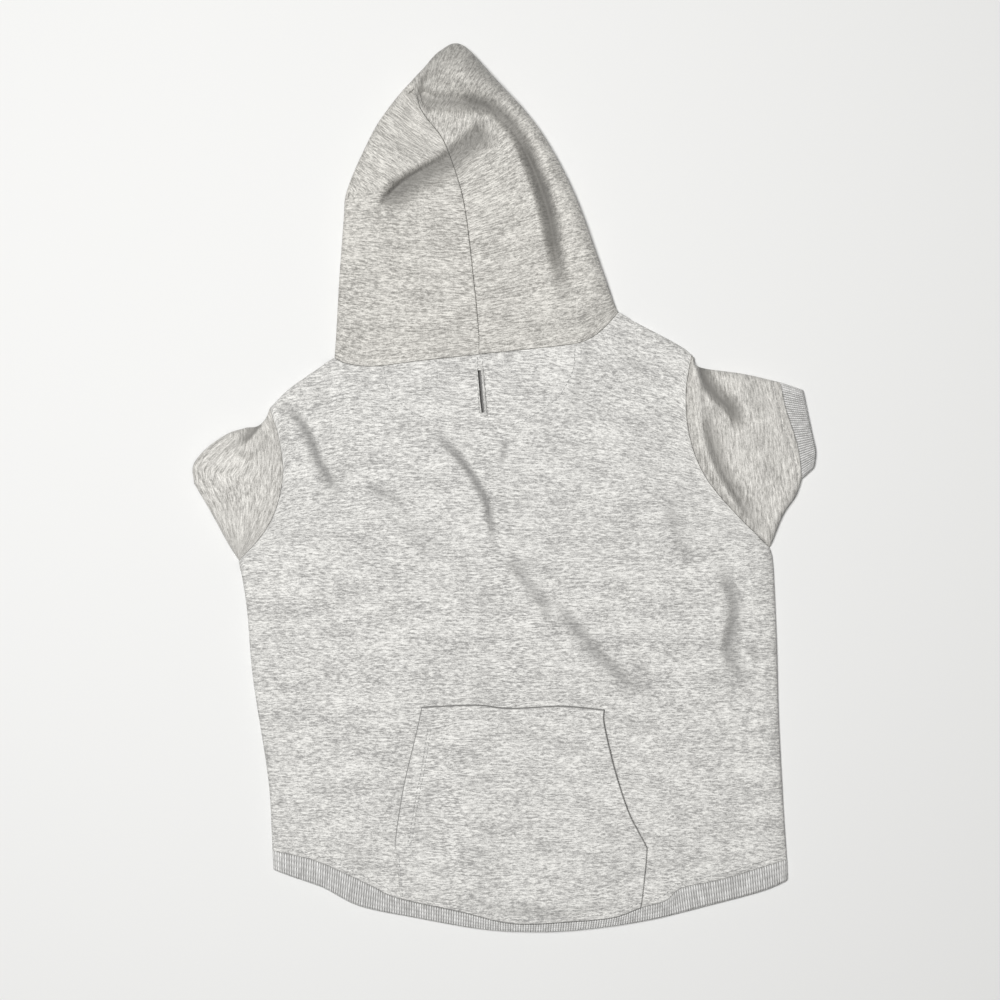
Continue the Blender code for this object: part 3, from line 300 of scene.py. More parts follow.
# The slit's binding from its foot on the body over its lip: how far out, and how high.
BINDING = [(2.3, 0.2), (2.3, 0.7), (2.0, 1.15), (1.6, 1.3), (1.25, 1.1), (1.2, 0.3)]


# ---- Lines and sheets ------------------------------------------------------------------------------

class Line:
    """A smooth line through named points, read at shares of its length or of its rows."""

    def __init__(self, points, by_row=False, smooth=True):
        p = np.array(points, float)
        if smooth and len(p) > 2:
            ends = np.vstack([2 * p[0] - p[1], p, 2 * p[-1] - p[-2]])
            t = np.linspace(0, len(p) - 1, 24 * (len(p) - 1) + 1)
            i = np.minimum(t.astype(int), len(p) - 2)
            f = (t - i)[:, None]
            a, b, c, d = ends[i], ends[i + 1], ends[i + 2], ends[i + 3]
            p = 0.5 * (2 * b + (c - a) * f + (2 * a - 5 * b + 4 * c - d) * f**2
                       + (3 * b - a - 3 * c + d) * f**3)
        self.points = p
        step = np.linalg.norm(np.diff(p, axis=0)[:, :2], axis=1)
        self.length = step.sum()
        self.at = np.linspace(0, 1, len(p))
        if not by_row:
            self.at = np.concatenate([[0], np.cumsum(step)]) / self.length

    def __call__(self, t):
        t = np.asarray(t, float)
        return np.stack([np.interp(t, self.at, c) for c in self.points.T], axis=-1)


def joined(*lines):
    """Lines end to end, with the shares of the length at which they meet."""
    whole = Line(np.vstack([line.points for line in lines]), smooth=False)
    ends = np.cumsum([0] + [line.length for line in lines])
    return whole, ends / ends[-1]


def coons(bottom, top, left, right, u, v):
    """The sheet between four lines, at shares u across and v up."""
    u3, v3 = u[..., None], v[..., None]
    corners = ((1 - u3) * (1 - v3) * bottom(0) + u3 * (1 - v3) * bottom(1)
               + (1 - u3) * v3 * top(0) + u3 * v3 * top(1))
    return ((1 - v3) * bottom(u) + v3 * top(u) + (1 - u3) * left(v) + u3 * right(v)) - corners


def flat_unit(v):
    """The direction of a vector, as seen from above."""
    v = np.array(v[..., :2])
    return v / np.maximum(np.linalg.norm(v, axis=-1, keepdims=True), 1e-9)


def offset_line(points, distance):
    """Points of a line moved sideways, to the right of the way that it runs."""
    run = flat_unit(np.gradient(points, axis=0))
    return points + distance * np.stack([run[:, 1], -run[:, 0]], -1)


def offset(line, distance):
    """A line beside another, to the right of the way that it runs."""
    return Line(offset_line(line(np.linspace(0, 1, 120)), distance), smooth=False)


def distance_to(line, xy):
    """How far each point lies from a line."""
    ends = line(np.linspace(0, 1, 140))
    start, run = ends[:-1], np.diff(ends, axis=0)
    off = xy[..., None, :] - start
    along = np.clip((off * run).sum(-1) / (run**2).sum(-1), 0, 1)
    return np.linalg.norm(off - along[..., None] * run, axis=-1).min(-1)


def lifted(xy, z):
    """Flat points with a height."""
    z = np.broadcast_to(z, xy.shape[:-1])
    return np.concatenate([xy, z[..., None]], -1)


def smooth_step(t):
    t = np.clip(t, 0, 1)
    return t * t * (3 - 2 * t)


def relief(xy, folds, pinch=False):
    """How far the folds raise or sink the cloth at each point, or how dark the shade they paint on it
    is.
    """
    total = np.zeros(xy.shape[:-1])
    for fold in folds:
        if pinch and not fold.pinch:
            continue
        p = Line(fold.path)(np.linspace(0, 1, 26))
        reach = max(fold.left, fold.right) * (BESIDE_REACH if fold.beside else 1.0)
        near = ((xy > p.min(0) - reach) & (xy < p.max(0) + reach)).all(-1)
        if not near.any():
            continue
        here = xy[near]
        a, run = p[:-1], np.diff(p, axis=0)
        away = here[:, None] - a
        t = np.clip((away * run).sum(-1) / (run**2).sum(-1), 0, 1)
        distance = np.linalg.norm(away - t[..., None] * run, axis=-1)
        k = distance.argmin(-1)
        row = np.arange(len(here))
        turn = run[k, 0] * away[row, k, 1] - run[k, 1] * away[row, k, 0]
        share = (k + t[row, k]) / len(run)
        fade = 1 - (1 - fold.start) * (1 - smooth_step(share / FADE))
        fade = np.clip(fade - (1 - fold.end) * (1 - smooth_step((1 - share) / FADE)), 0, 1)
        d = distance[row, k] / np.where(turn > 0, fold.left, fold.right)
        shape = (1 - np.clip(d, 0, 1) ** fold.round) ** 2
        if pinch:
            total[near] = np.maximum(total[near], fold.pinch * fade * shape)
        else:
            beside = fold.beside * smooth_step(d) * smooth_step((BESIDE_REACH - d) / 1.8)
            total[near] += fold.middle * fade * (shape - beside)
    return total


def unevenness(xy, height, wavelength, seed):
    """Soft random waves, so that no stretch of cloth lies quite flat."""
    waves = 14
    random = np.random.default_rng(seed)
    total = np.zeros(xy.shape[:-1])
    for _ in range(waves):
        angle, phase = random.uniform(0, 2 * np.pi, 2)
        length = wavelength * random.uniform(0.6, 1.7)
        along = (xy[..., 0] * np.cos(angle) + xy[..., 1] * np.sin(angle)) / length
        total += np.sin(2 * np.pi * along + phase)
    return height * total / waves**0.5


def edge_lines(rolled, scale=1.0):
    """For each line that meets an edge, rolled or sewn: how far in its first points lie, and
    their shares of the height."""
    t = np.linspace(0, 1, EDGE_LINES)
    rolled_at, sewn_at = (Line(rows, by_row=True)(t) for rows in (ROLLED_EDGE, SEWN_EDGE))
    flag = np.asarray(rolled, float)[:, None] > 0.5
    scale = np.broadcast_to(scale, flag[:, 0].shape)[:, None]
    return (np.where(flag, rolled_at[:, 0] * scale, sewn_at[:, 0]),
            np.where(flag, np.clip(rolled_at[:, 1], 0, 1), sewn_at[:, 1]))


def lines_between(count, start, end, length):
    """For each line: the shares at which the others cross it, and its shares of the height."""
    length = np.broadcast_to(length, start[0].shape[:1])[:, None]
    first, last = start[0] / length, 1 - end[0][:, ::-1] / length
    even = np.linspace(0, 1, count + 2)[1:-1]
    middle = first[:, -1:] + even * (last[:, :1] - first[:, -1:])
    height = np.concatenate([start[1], np.ones(middle.shape), end[1][:, ::-1]], 1)
    return np.concatenate([first, middle, last], 1), height


def normals(grid, closed=False):
    """Outward unit normals of a grid of rows, whose columns may close into a ring."""
    if closed:
        across = np.roll(grid, -1, 1) - np.roll(grid, 1, 1)
    else:
        across = np.gradient(grid, axis=1)
    n = np.cross(across, np.gradient(grid, axis=0))
    return n / np.maximum(np.linalg.norm(n, axis=-1, keepdims=True), 1e-9)


def arc(grid, axis, start=0):
    """How far along the cloth each point of a grid lies from a row or a column of it."""
    step = np.linalg.norm(np.diff(grid, axis=axis), axis=-1)
    along = np.insert(np.cumsum(step, axis), 0, 0, axis)
    return along - np.take(along, [start], axis)


# ---- Cloth as a mesh -------------------------------------------------------------------------------

def placed(name, content):
    """A mesh, a light or a camera as an object of the scene."""
    thing = bpy.data.objects.new(name, content)
    bpy.context.scene.collection.objects.link(thing)
    return thing


def make(name, points, faces, corner_uv, material, shares):
    """A smooth piece with its cloth map, and with shares on its points for the material."""
    mesh = bpy.data.meshes.new(name)
    mesh.from_pydata((points * MM).tolist(), [], faces)
    layer = mesh.uv_layers.new(name="cloth")
    layer.data.foreach_set("uv", (corner_uv * MM).ravel().astype(np.float32))
    for label, share in shares.items():
        mesh.attributes.new(label, "FLOAT", "POINT").data.foreach_set("value", share)
    mesh.materials.append(material)
    mesh.shade_smooth()
    mesh.update()
    return placed(name, mesh)


def grid_corners(rows, columns, closed, flip):
    """The corners of a grid's faces as (row, column), four to a face. A ring has one more column."""
    i, j = np.meshgrid(np.arange(rows - 1), np.arange(columns - 1 + closed), indexing="ij")
    i, j = i.ravel(), j.ravel()
    corners = np.stack([np.stack([i, j], -1), np.stack([i, j + 1], -1),
                        np.stack([i + 1, j + 1], -1), np.stack([i + 1, j], -1)], 1)
    return corners[:, ::-1] if flip else corners


def rim_loops(rows, columns, closed):
    """The points round a grid's edge in order, as (row, column)."""
    if closed:
        first = [(0, j) for j in range(columns + 1)]
        last = [(rows - 1, j) for j in range(columns, -1, -1)]
        return [np.array(first), np.array(last)]
    around = [(0, j) for j in range(columns)]
    around += [(i, columns - 1) for i in range(1, rows)]
    around += [(rows - 1, j) for j in range(columns - 2, -1, -1)]
    around += [(i, 0) for i in range(rows - 2, -1, -1)]
    return [np.array(around)]


def shell(name, outer, inner, uv, material, closed=False, **shares):
    """A closed wall of cloth between an outer grid and an inner one, which may skip every other
    row and column. A ring's uv has one more column. Shares for the material go with the points."""
    rows, columns = outer.shape[:2]
    skip = (rows - 1) // (inner.shape[0] - 1)
    faces, uvs, first = [], [], 0
    for grid, step in ((outer, 1), (inner, skip)):
        r, c = grid.shape[:2]
        corner = grid_corners(r, c, closed, flip=first > 0)
        faces += (first + corner[..., 0] * c + corner[..., 1] % c).tolist()
        uvs.append(uv[corner[..., 0] * step, corner[..., 1] * step].reshape(-1, 2))
        first += r * c
    count, inner_columns = rows * columns, inner.shape[1]
    for loop in rim_loops(rows, columns, closed):
        for start in range(0, len(loop) - 1, skip):
            run = loop[start:start + skip + 1]
            near = [count + i // skip * inner_columns + j // skip % inner_columns
                    for i, j in (run[0], run[-1])]
            faces.append([int(i * columns + j % columns) for i, j in run[::-1]] + near)
            at = np.vstack([run[::-1], run[:1], run[-1:]])
            uvs.append(uv[at[:, 0], at[:, 1]])
    points = np.vstack([outer.reshape(-1, 3), inner.reshape(-1, 3)])
    for label, share in shares.items():
        whole = np.concatenate([share.ravel(), share[::skip, ::skip].ravel()])
        shares[label] = whole.astype(np.float32)
    return make(name, points, faces, np.vstack(uvs), material, shares)


def inner_face(outer, base, closed=False):
    """The inner face of a wall of cloth, along the normals of its form without folds."""
    inner = outer - CLOTH * normals(base, closed)
    inner[..., 2] = np.maximum(inner[..., 2], LOWEST_INNER_Z)
    return inner


def folded_inner_face(shape, plain, clear, closed=False):
    """The same for cloth that is folded in two, clear of its own lower layer."""
    inner = inner_face(shape, plain, closed)
    above = np.maximum(inner[..., 2], CLOTH + clear)
    inner[..., 2] = np.where(shape[..., 2] <= ON_FLOOR, CLOTH, above)
    return inner


def painted_fold_shade_above(shape, folds):
    """The painted shade of the folds on cloth that is folded in two, on its upper layer only."""
    return relief(shape[..., :2], folds, pinch=True) * (shape[..., 2] > ON_FLOOR)


def map_from_middle(outer):
    """Lengths along the cloth from the middle of a sheet, across and up."""
    middle = outer.shape[0] // 2, outer.shape[1] // 2
    up = arc(outer, 0, middle[0]) + outer[middle[0], :, 1]
    return np.stack([arc(outer, 1, middle[1]), up], -1)


def as_plain_mesh(piece):
    """Apply what the modifiers make of a piece."""
    bpy.context.view_layer.update()
    evaluated = piece.evaluated_get(bpy.context.evaluated_depsgraph_get())
    mesh = bpy.data.meshes.new_from_object(evaluated)
    piece.modifiers.clear()
    piece.data = mesh


def stands_for(piece, node):
    """Tie a piece to the solid that it replaces."""
    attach(piece, "root")
    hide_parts(node)
    return piece


def finish(piece, node):
    """Tie a sheet of cloth to the solid it stands for."""
    stands_for(piece, node)
    return piece


# ---- Materials -------------------------------------------------------------------------------------

class Tree:
    """A material's nodes, made and joined in one line each."""

    def __init__(self, name):
        self.material = bpy.data.materials.new(name)
        self.material.use_nodes = True
        self.nodes = self.material.node_tree.nodes
        self.links = self.material.node_tree.links
        self.shader = self.nodes["Principled BSDF"]

    def set(self, socket, value):
        if isinstance(value, bpy.types.NodeSocket):
            self.links.new(value, socket)
        else:
            socket.default_value = value

    def math(self, operation, a, b=0.0, clamp=False):
        node = self.nodes.new("ShaderNodeMath")
        node.operation = operation
        node.use_clamp = clamp
        self.set(node.inputs[0], a)
        self.set(node.inputs[1], b)
        return node.outputs[0]

    def vector(self, operation, a, b):
        node = self.nodes.new("ShaderNodeVectorMath")
        node.operation = operation
        self.set(node.inputs[0], a)
        self.set(node.inputs[1], b)
        return node.outputs[0]

    def noise(self, at, detail=2.0, roughness=0.5):
        node = self.nodes.new("ShaderNodeTexNoise")
        node.inputs["Scale"].default_value = 1.0
        node.inputs["Detail"].default_value = detail
        node.inputs["Roughness"].default_value = roughness
        self.set(node.inputs["Vector"], at)
        return node.outputs["Fac"]

    def stretched_noise(self, at, length, width, detail=2.0):
        """Noise whose blots are so long and wide, in metres, on the cloth's map."""
        return self.noise(self.vector("MULTIPLY", at, (1 / length, 1 / width, 1.0)), detail)

    def share_on_points(self, label):
        node = self.nodes.new("ShaderNodeAttribute")
        node.attribute_name = label
        return node.outputs["Fac"]

    def ramp(self, value, low, high, to_low=0.0, to_high=1.0):
        node = self.nodes.new("ShaderNodeMapRange")
        node.interpolation_type = "SMOOTHSTEP"
        for socket, number in zip(node.inputs[1:5], (low, high, to_low, to_high)):
            socket.default_value = number
        self.set(node.inputs[0], value)
        return node.outputs[0]

    def mix(self, share, a, b):
        node = self.nodes.new("ShaderNodeMix")
        node.data_type = "RGBA"
        self.set(node.inputs["Factor"], share)
        self.set(node.inputs[6], a)
        self.set(node.inputs[7], b)
        return node.outputs[2]

    def bump(self, height, distance, strength=1.0, normal=None):
        node = self.nodes.new("ShaderNodeBump")
        node.inputs["Distance"].default_value = distance
        node.inputs["Strength"].default_value = strength
        self.set(node.inputs["Height"], height)
        if normal is not None:
            self.set(node.inputs["Normal"], normal)
        return node.outputs[0]


def colour(red, green, blue):
    return (red, green, blue, 1.0)


def darker(tone, share):
    return tuple(share * part for part in tone[:3]) + (1.0,)


def streaks(tree, at, size, seed, stretch=1.0, detail=3.0):
    """Noise drawn out along the first of the cloth's two coordinates, to a length and width."""
    length, width = size[0] * stretch, size[1]
    scaled = tree.vector("MULTIPLY", at, (1 / (length * MM), 1 / (width * MM), 1.0))
    moved = tree.vector("ADD", scaled, (seed * 13.7, seed * 7.3, seed * 5.1))
    return tree.noise(moved, detail, 0.55)


def turned_by(tree, at, degrees):
    """The cloth's coordinates, turned where the share on its points says so."""
    along = np.array([np.cos(np.radians(degrees)), np.sin(np.radians(degrees)), 0.0])
    joiner = tree.nodes.new("ShaderNodeCombineXYZ")
    for socket, way in zip(joiner.inputs, (along, (-along[1], along[0], 0.0))):
        dot = tree.nodes.new("ShaderNodeVectorMath")
        dot.operation = "DOT_PRODUCT"
        tree.set(dot.inputs[0], at)
        tree.set(dot.inputs[1], tuple(way))
        tree.set(socket, dot.outputs["Value"])
    # Where the two ways meet, they break into each other in ragged tufts.
    ragged = tree.stretched_noise(at, 0.0025, 0.0025)
    ragged = tree.math("MULTIPLY", tree.math("SUBTRACT", ragged, 0.5), 1.6)
    share = tree.ramp(tree.math("ADD", tree.share_on_points("turned"), ragged), 0.48, 0.52)
    chosen = tree.nodes.new("ShaderNodeMix")
    chosen.data_type = "VECTOR"
    tree.set(chosen.inputs[0], share)
    tree.set(chosen.inputs[4], at)
    tree.set(chosen.inputs[5], joiner.outputs[0])
    return chosen.outputs[1]


def weighed(tree, parts):
    """Half, and the sum of some noises' distance from a half, each with its weight."""
    total = 0.5
    for noise, weight in parts:
        total = tree.math("ADD", tree.math("MULTIPLY", tree.math("SUBTRACT", noise, 0.5), weight),
                          total)
    return tree.math("ADD", total, 0.0, clamp=True)


def cloth_coordinates(tree):
    """The piece's own map, in metres along the cloth."""
    source = tree.nodes.new("ShaderNodeUVMap")
    source.uv_map = "cloth"
    return source.outputs[0]


# Length and width in mm of a heather's marks, and how much those that make its shade count. The
# flecks lie over that shade, and the loops and the nap only roughen the surface.
BROAD, FINE, FLECK, GRAIN = (5.4, 1.2), (2.4, 0.6), (3.8, 0.75), (0.75, 0.5)
LOOP, NAP = (0.9, 0.45), (0.35, 0.3)
BROAD_WEIGHT, FINE_WEIGHT, GRAIN_WEIGHT, PATCH_WEIGHT = 2.1, 1.8, 1.3, 0.8


def marl(name, light, dark, contrast=1.0, stretch=1.0, turn=None, by_object=False):
    """Heather fleece: light cloth with short grey streaks of dyed fibre along its courses."""
    tree = Tree(name)
    if by_object:
        at = tree.nodes.new("ShaderNodeTexCoord").outputs["Object"]
    else:
        at = cloth_coordinates(tree)
    if turn is not None:
        at = turned_by(tree, at, turn)
    wave = tree.stretched_noise(at, 0.026, 0.012)
    sway = tree.math("MULTIPLY", tree.math("SUBTRACT", wave, 0.5), 0.002)
    joiner = tree.nodes.new("ShaderNodeCombineXYZ")
    tree.set(joiner.inputs[1], sway)
    at = tree.vector("ADD", at, joiner.outputs[0])

    broad = streaks(tree, at, BROAD, 1, stretch)
    fine = streaks(tree, at, FINE, 2, stretch)
    flecks = streaks(tree, at, FLECK, 3, stretch)
    grain = streaks(tree, at, GRAIN, 6, detail=1.0)
    patches = tree.stretched_noise(at, 0.03, 0.011)
    parts = [(broad, BROAD_WEIGHT), (fine, FINE_WEIGHT), (grain, GRAIN_WEIGHT),
             (patches, PATCH_WEIGHT)]
    shade = weighed(tree, [(noise, weight * contrast) for noise, weight in parts])
    base = tree.mix(shade, light, dark)
    deep = darker(dark, 0.6)
    fibre = tree.ramp(flecks, 0.58, 0.72, 0.0, 0.65 * contrast)
    base = tree.mix(fibre, base, deep)
    # Painted shade: creases, the gap beside a sewn edge and the cloth below the slit are darkened
    # where they take little light.
    base = tree.mix(tree.math("MULTIPLY", tree.share_on_points("gap"), 0.95), base, deep)
    tree.set(tree.shader.inputs["Base Color"], base)

    loops = streaks(tree, at, LOOP, 4, detail=1.0)
    nap = streaks(tree, at, NAP, 5, detail=1.0)
    surface = tree.math("ADD", loops, tree.math("MULTIPLY", nap, 0.6))
    normal = tree.bump(surface, 0.00022, 0.6)
    normal = tree.bump(broad, 0.0003, 0.2, normal)
    finish_cloth(tree, normal)
    return tree.material


def finish_cloth(tree, normal):
    """Dull cloth with a little sheen."""
    tree.set(tree.shader.inputs["Normal"], normal)
    tree.shader.inputs["Roughness"].default_value = 0.92
    tree.shader.inputs["Specular IOR Level"].default_value = 0.25
    tree.shader.inputs["Sheen Weight"].default_value = 0.18
    tree.shader.inputs["Sheen Roughness"].default_value = 0.45


def rib_knit(name, light, dark):
    """Rib: V-shaped stitches along each wale, with valleys between darkened by painted shade and
    darker yarn.
    """
    tree = Tree(name)
    at = cloth_coordinates(tree)
    parts = tree.nodes.new("ShaderNodeSeparateXYZ")
    tree.set(parts.inputs[0], at)
    across = tree.math("DIVIDE", parts.outputs[0], WALE * MM)
    from_middle = tree.math("ABSOLUTE", tree.math("SUBTRACT", tree.math("FRACT", across), 0.5))
    valley = tree.ramp(from_middle, 0.26, 0.49)
    slanted = tree.math("ADD", tree.math("DIVIDE", parts.outputs[1], 1.15 * MM), from_middle)
    rung = tree.math("ABSOLUTE", tree.math("SUBTRACT", tree.math("FRACT", slanted), 0.5))
    gap = tree.ramp(rung, 0.30, 0.48)
    # A new shade for each wale's stretch of yarn.
    wale = tree.math("FLOOR", across)
    joiner = tree.nodes.new("ShaderNodeCombineXYZ")
    tree.set(joiner.inputs[0], tree.math("MULTIPLY", wale, 3.7))
    tree.set(joiner.inputs[1], tree.math("DIVIDE", parts.outputs[1], 2.6 * MM))
    yarn = tree.noise(joiner.outputs[0], 3.0)
    broad = tree.stretched_noise(at, 0.006, 0.004, 3.0)
    shade = weighed(tree, [(yarn, 2.2), (broad, 0.8)])
    base = tree.mix(shade, light, dark)
    deep = darker(dark, 0.42)
    # Painted shade, with some darker yarn from behind: the gaps between the stitches and the valleys
    # between the wales are darkened.
    base = tree.mix(tree.math("MULTIPLY", gap, 0.28), base, deep)
    base = tree.mix(tree.math("MULTIPLY", valley, 0.56), base, deep)
    tree.set(tree.shader.inputs["Base Color"], base)
    loops = tree.math("MULTIPLY", tree.math("ADD", gap, tree.math("MULTIPLY", valley, 1.5)), -1.0)
    finish_cloth(tree, tree.bump(loops, 0.0002, 0.8))
    return tree.material


def thread_material(name, tone):
    """Dull thread with the fine light and dark of its twist."""
    tree = Tree(name)
    at = tree.nodes.new("ShaderNodeTexCoord").outputs["Object"]
    twist = tree.noise(tree.vector("MULTIPLY", at, (2600.0, 2600.0, 2600.0)), 1.0)
    tree.set(tree.shader.inputs["Base Color"], tree.mix(twist, tone, darker(tone, 0.7)))
    tree.set(tree.shader.inputs["Normal"], tree.bump(twist, 0.0001, 0.6))
    tree.shader.inputs["Roughness"].default_value = 0.7
    return tree.material


LIGHT, DARK = colour(0.89, 0.88, 0.845), colour(0.34, 0.335, 0.325)
WARM_LIGHT, WARM_DARK = colour(0.86, 0.84, 0.795), colour(0.31, 0.30, 0.28)
# Painted shade: the hood's tones are darker and warmer than the body's, for the dimmer, warmer light
# on it.
HOOD_LIGHT, HOOD_DARK = colour(0.82, 0.80, 0.75), colour(0.30, 0.29, 0.27)
BODY_CLOTH = marl("heather_fleece", LIGHT, DARK)
HOOD_LEFT_CLOTH = marl("heather_fleece_hood_left", HOOD_LIGHT, HOOD_DARK, turn=141)
HOOD_RIGHT_CLOTH = marl("heather_fleece_hood_right", HOOD_LIGHT, HOOD_DARK, turn=42)
SLEEVE_CLOTH = marl("heather_fleece_sleeve", WARM_LIGHT, WARM_DARK, contrast=0.75, stretch=1.3)
RIB_CLOTH = rib_knit("heather_rib", colour(0.90, 0.895, 0.88), colour(0.52, 0.515, 0.50))
HIDDEN_CLOTH = marl("heather_fleece_inside", LIGHT, DARK, by_object=True)
# Painted shade: the thread's grey is darker than the thread itself, for the shade its stitches lie in.
THREAD = thread_material("sewing_thread", colour(0.44, 0.44, 0.43))


# ---- Body ------------------------------------------------------------------------------------------

left_up, left_stops = joined(Line(LEFT_SIDE), Line(LEFT_ARMHOLE))
right_up, right_stops = joined(Line(RIGHT_SIDE), Line(RIGHT_ARMHOLE))
top_across, top_stops = joined(Line(LEFT_SHOULDER), Line(NECK_LEFT), Line(NECK_RIGHT),
                               Line(RIGHT_SHOULDER))
hem_seam = Line(HEM_SEAM)


def body_height(xy):
    """The outer face of the back panel, with its folds."""
    waves = (unevenness(xy, height=0.16, wavelength=38, seed=3)
             + unevenness(xy, height=0.07, wavelength=15, seed=4))
    return np.maximum(BODY_Z + relief(xy, BODY_FOLDS) + waves, LOWEST_BODY_Z)


def back_panel():
    """The back, rolled under at its sides and sewn at the hem, the armholes and the neck."""
    height = left_up.length
    columns, rows = (2 * round(size / STEP / 2) + 1 for size in (BODY_WIDTH, height))
    # The edges change from rolled to sewn at the armpit and at the neck's corners.
    armpit = 0.5 * (left_stops[1] + right_stops[1])
    across = np.linspace(0, 1, columns + 2 * EDGE_LINES)
    at_shoulder = (across < top_stops[1]) | (across > top_stops[3])
    v, v_height = lines_between(rows, edge_lines(0 * across), edge_lines(at_shoulder), height)
    up = v.mean(0)
    straight = np.abs(left_up(up) - right_up(up))[:, 0]
    edge = edge_lines(up < armpit)
    u, u_height = lines_between(columns, edge, edge, straight)
    v, share = v.T, u_height * v_height.T
    xy = coons(hem_seam, top_across, left_up, right_up, u, v)
    outer = lifted(xy, body_height(xy) * share)
    base = lifted(xy, BODY_Z * share)
    inner = inner_face(outer[::2, ::2], base[::2, ::2])
    return shell("back_panel_cloth", outer, inner, map_from_middle(outer), BODY_CLOTH,
                 gap=relief(xy, BODY_FOLDS, pinch=True))


def cut_slit(panel):
    """The leash slit goes right through the panel."""
    line = Line(SLIT)(np.linspace(0, 1, 12))
    outline = np.vstack([offset_line(line, SLIT_WIDTH / 2), offset_line(line, -SLIT_WIDTH / 2)[::-1]])
    count = len(outline)
    mesh = bpy.data.meshes.new("slit_cutter")
    below, above = 2.0, 12.0
    points = np.vstack([lifted(outline, below), lifted(outline, above)]) * MM
    sides = [(a, (a + 1) % count, (a + 1) % count + count, a + count) for a in range(count)]
    caps = [tuple(range(count))[::-1], tuple(range(count, 2 * count))]
    mesh.from_pydata(points.tolist(), [], caps + sides)
    cutter = placed("slit_cutter", mesh)
    cut = panel.modifiers.new("slit", "BOOLEAN")
    cut.operation = "DIFFERENCE"
    cut.solver = "EXACT"
    cut.object = cutter
    as_plain_mesh(panel)
    bpy.data.objects.remove(cutter)
    return panel


def slit_binding():
    """A raised lip round the slit, wider on its right."""
    rings = []
    for reach, lift in Line(BINDING)(np.linspace(0, 1, 12)):
        line = Line(SLIT)(np.linspace(0, 1, 30))
        line[0] += reach * flat_unit(line[0] - line[1])
        line[-1] += reach * flat_unit(line[-1] - line[-2])
        ring = np.vstack([offset_line(line, 0.8 * reach), offset_line(line, -1.05 * reach)[::-1]])
        rings.append(lifted(ring, body_height(ring) + lift))
    outer = np.array(rings)
    inner = np.array([rings[0] * (1 - t) + rings[-1] * t for t in np.linspace(0, 1, len(rings))])
    inner[..., 2] -= 0.15
    wrapped = np.concatenate([outer, outer[:, :1]], 1)
    uv = np.stack([arc(wrapped, 1), arc(wrapped, 0)], -1)
    return shell("leash_slit_binding_cloth", outer, inner, uv, BODY_CLOTH, closed=True)


def belly_panel():
    """Flat below the back panel, clear of its rolled edges."""
    hem, top = offset(hem_seam, -0.4), offset(top_across, 1.2)
    left, right = offset(left_up, BELLY_INSET), offset(right_up, -BELLY_INSET)
    u, v = np.meshgrid(0.012 + 0.976 * np.linspace(0, 1, 90), 0.004 + 0.985 * np.linspace(0, 1, 96))
    xy = coons(hem, top, left, right, u, v)
    outer, inner = lifted(xy, CLOTH), lifted(xy, 0.0)
    # Painted shade: it is darkened where it lies in the dark below the narrow slit.
    shade = smooth_step((SLIT_SHADE - distance_to(Line(SLIT), xy)) / 2.0)
    return shell("belly_panel_cloth", outer, inner, xy, BODY_CLOTH, gap=shade)


def pocket():
    """Sewn to the body at its top, its foot and the lower sides, open for a hand above these."""
    columns, rows = round(POCKET_WIDTH / FINE_STEP), round(POCKET_HEIGHT / FINE_STEP)
    foot_x = np.linspace(POCKET_LEFT[0][0], POCKET_RIGHT[0][0], 60)
    foot = hem_seam(np.interp(foot_x, hem_seam.points[:, 0], hem_seam.at))
    foot = Line(foot, smooth=False)
    left, right, top = Line(POCKET_LEFT), Line(POCKET_RIGHT), Line(POCKET_TOP)
    edge = edge_lines(np.zeros(columns + 2 * EDGE_LINES))
    v, v_height = lines_between(rows, edge, edge, left.length)
    up = v.mean(0)
    width = np.linalg.norm(left(up) - right(up), axis=-1)
    edge = edge_lines(np.zeros(len(up)))
    u, u_height = lines_between(columns, edge, edge, width)
    v = v.T
    xy = coons(foot, top, left, right, u, v)
    # Its hand openings stand up from the body, the right one more.
    from_left, from_right = u * width[:, None], (1 - u) * width[:, None]
    opening = smooth_step((v - 0.28) / 0.1) * smooth_step((1 - v) / 0.08)
    lip = opening * (0.5 * np.exp(-(from_left / 7) ** 2) + np.exp(-(from_right / 9) ** 2))
    puff = np.sin(np.pi * np.clip(v, 0, 1)) ** 0.5 * (0.35 + 0.65 * np.sin(np.pi * np.clip(u, 0, 1)))
    waves = unevenness(xy, height=0.1, wavelength=30, seed=8)
    rise = POCKET_LIFT + POCKET_PUFF * puff + lip + waves
    ground = body_height(xy)
    # The edges round off towards the body, and lie closest to it along their seams.
    edges = 1 - 2.2 * (1 - u_height) - 3.2 * (1 - v_height.T)
    outer = lifted(xy, ground + rise * np.clip(edges + 0.3, 0.2, 1) + CLOTH * np.clip(edges, 0.2, 1))
    inner = lifted(xy, np.minimum(ground + 0.12 + 0.8 * rise, outer[..., 2] - 0.3))
    uv = map_from_middle(outer) + (40, 11)
    # Painted shadow: a dark line along its top and its hand openings, where a gap lies in shade, and
    # less of it below these.
    from_top = (1 - v) * left.length
    from_side = np.minimum(from_left, from_right)
    sides = np.where(u < 0.5, smooth_step((v - 0.22) / 0.1),
                     0.3 + 0.65 * smooth_step((v - 0.25) / 0.08))
    gap = np.maximum(smooth_step((1.0 - from_top) / 0.6), sides * smooth_step((0.8 - from_side) / 0.6))
    return shell("pocket_cloth", outer, inner, uv, BODY_CLOTH, gap=gap)


# ---- Hood ------------------------------------------------------------------------------------------

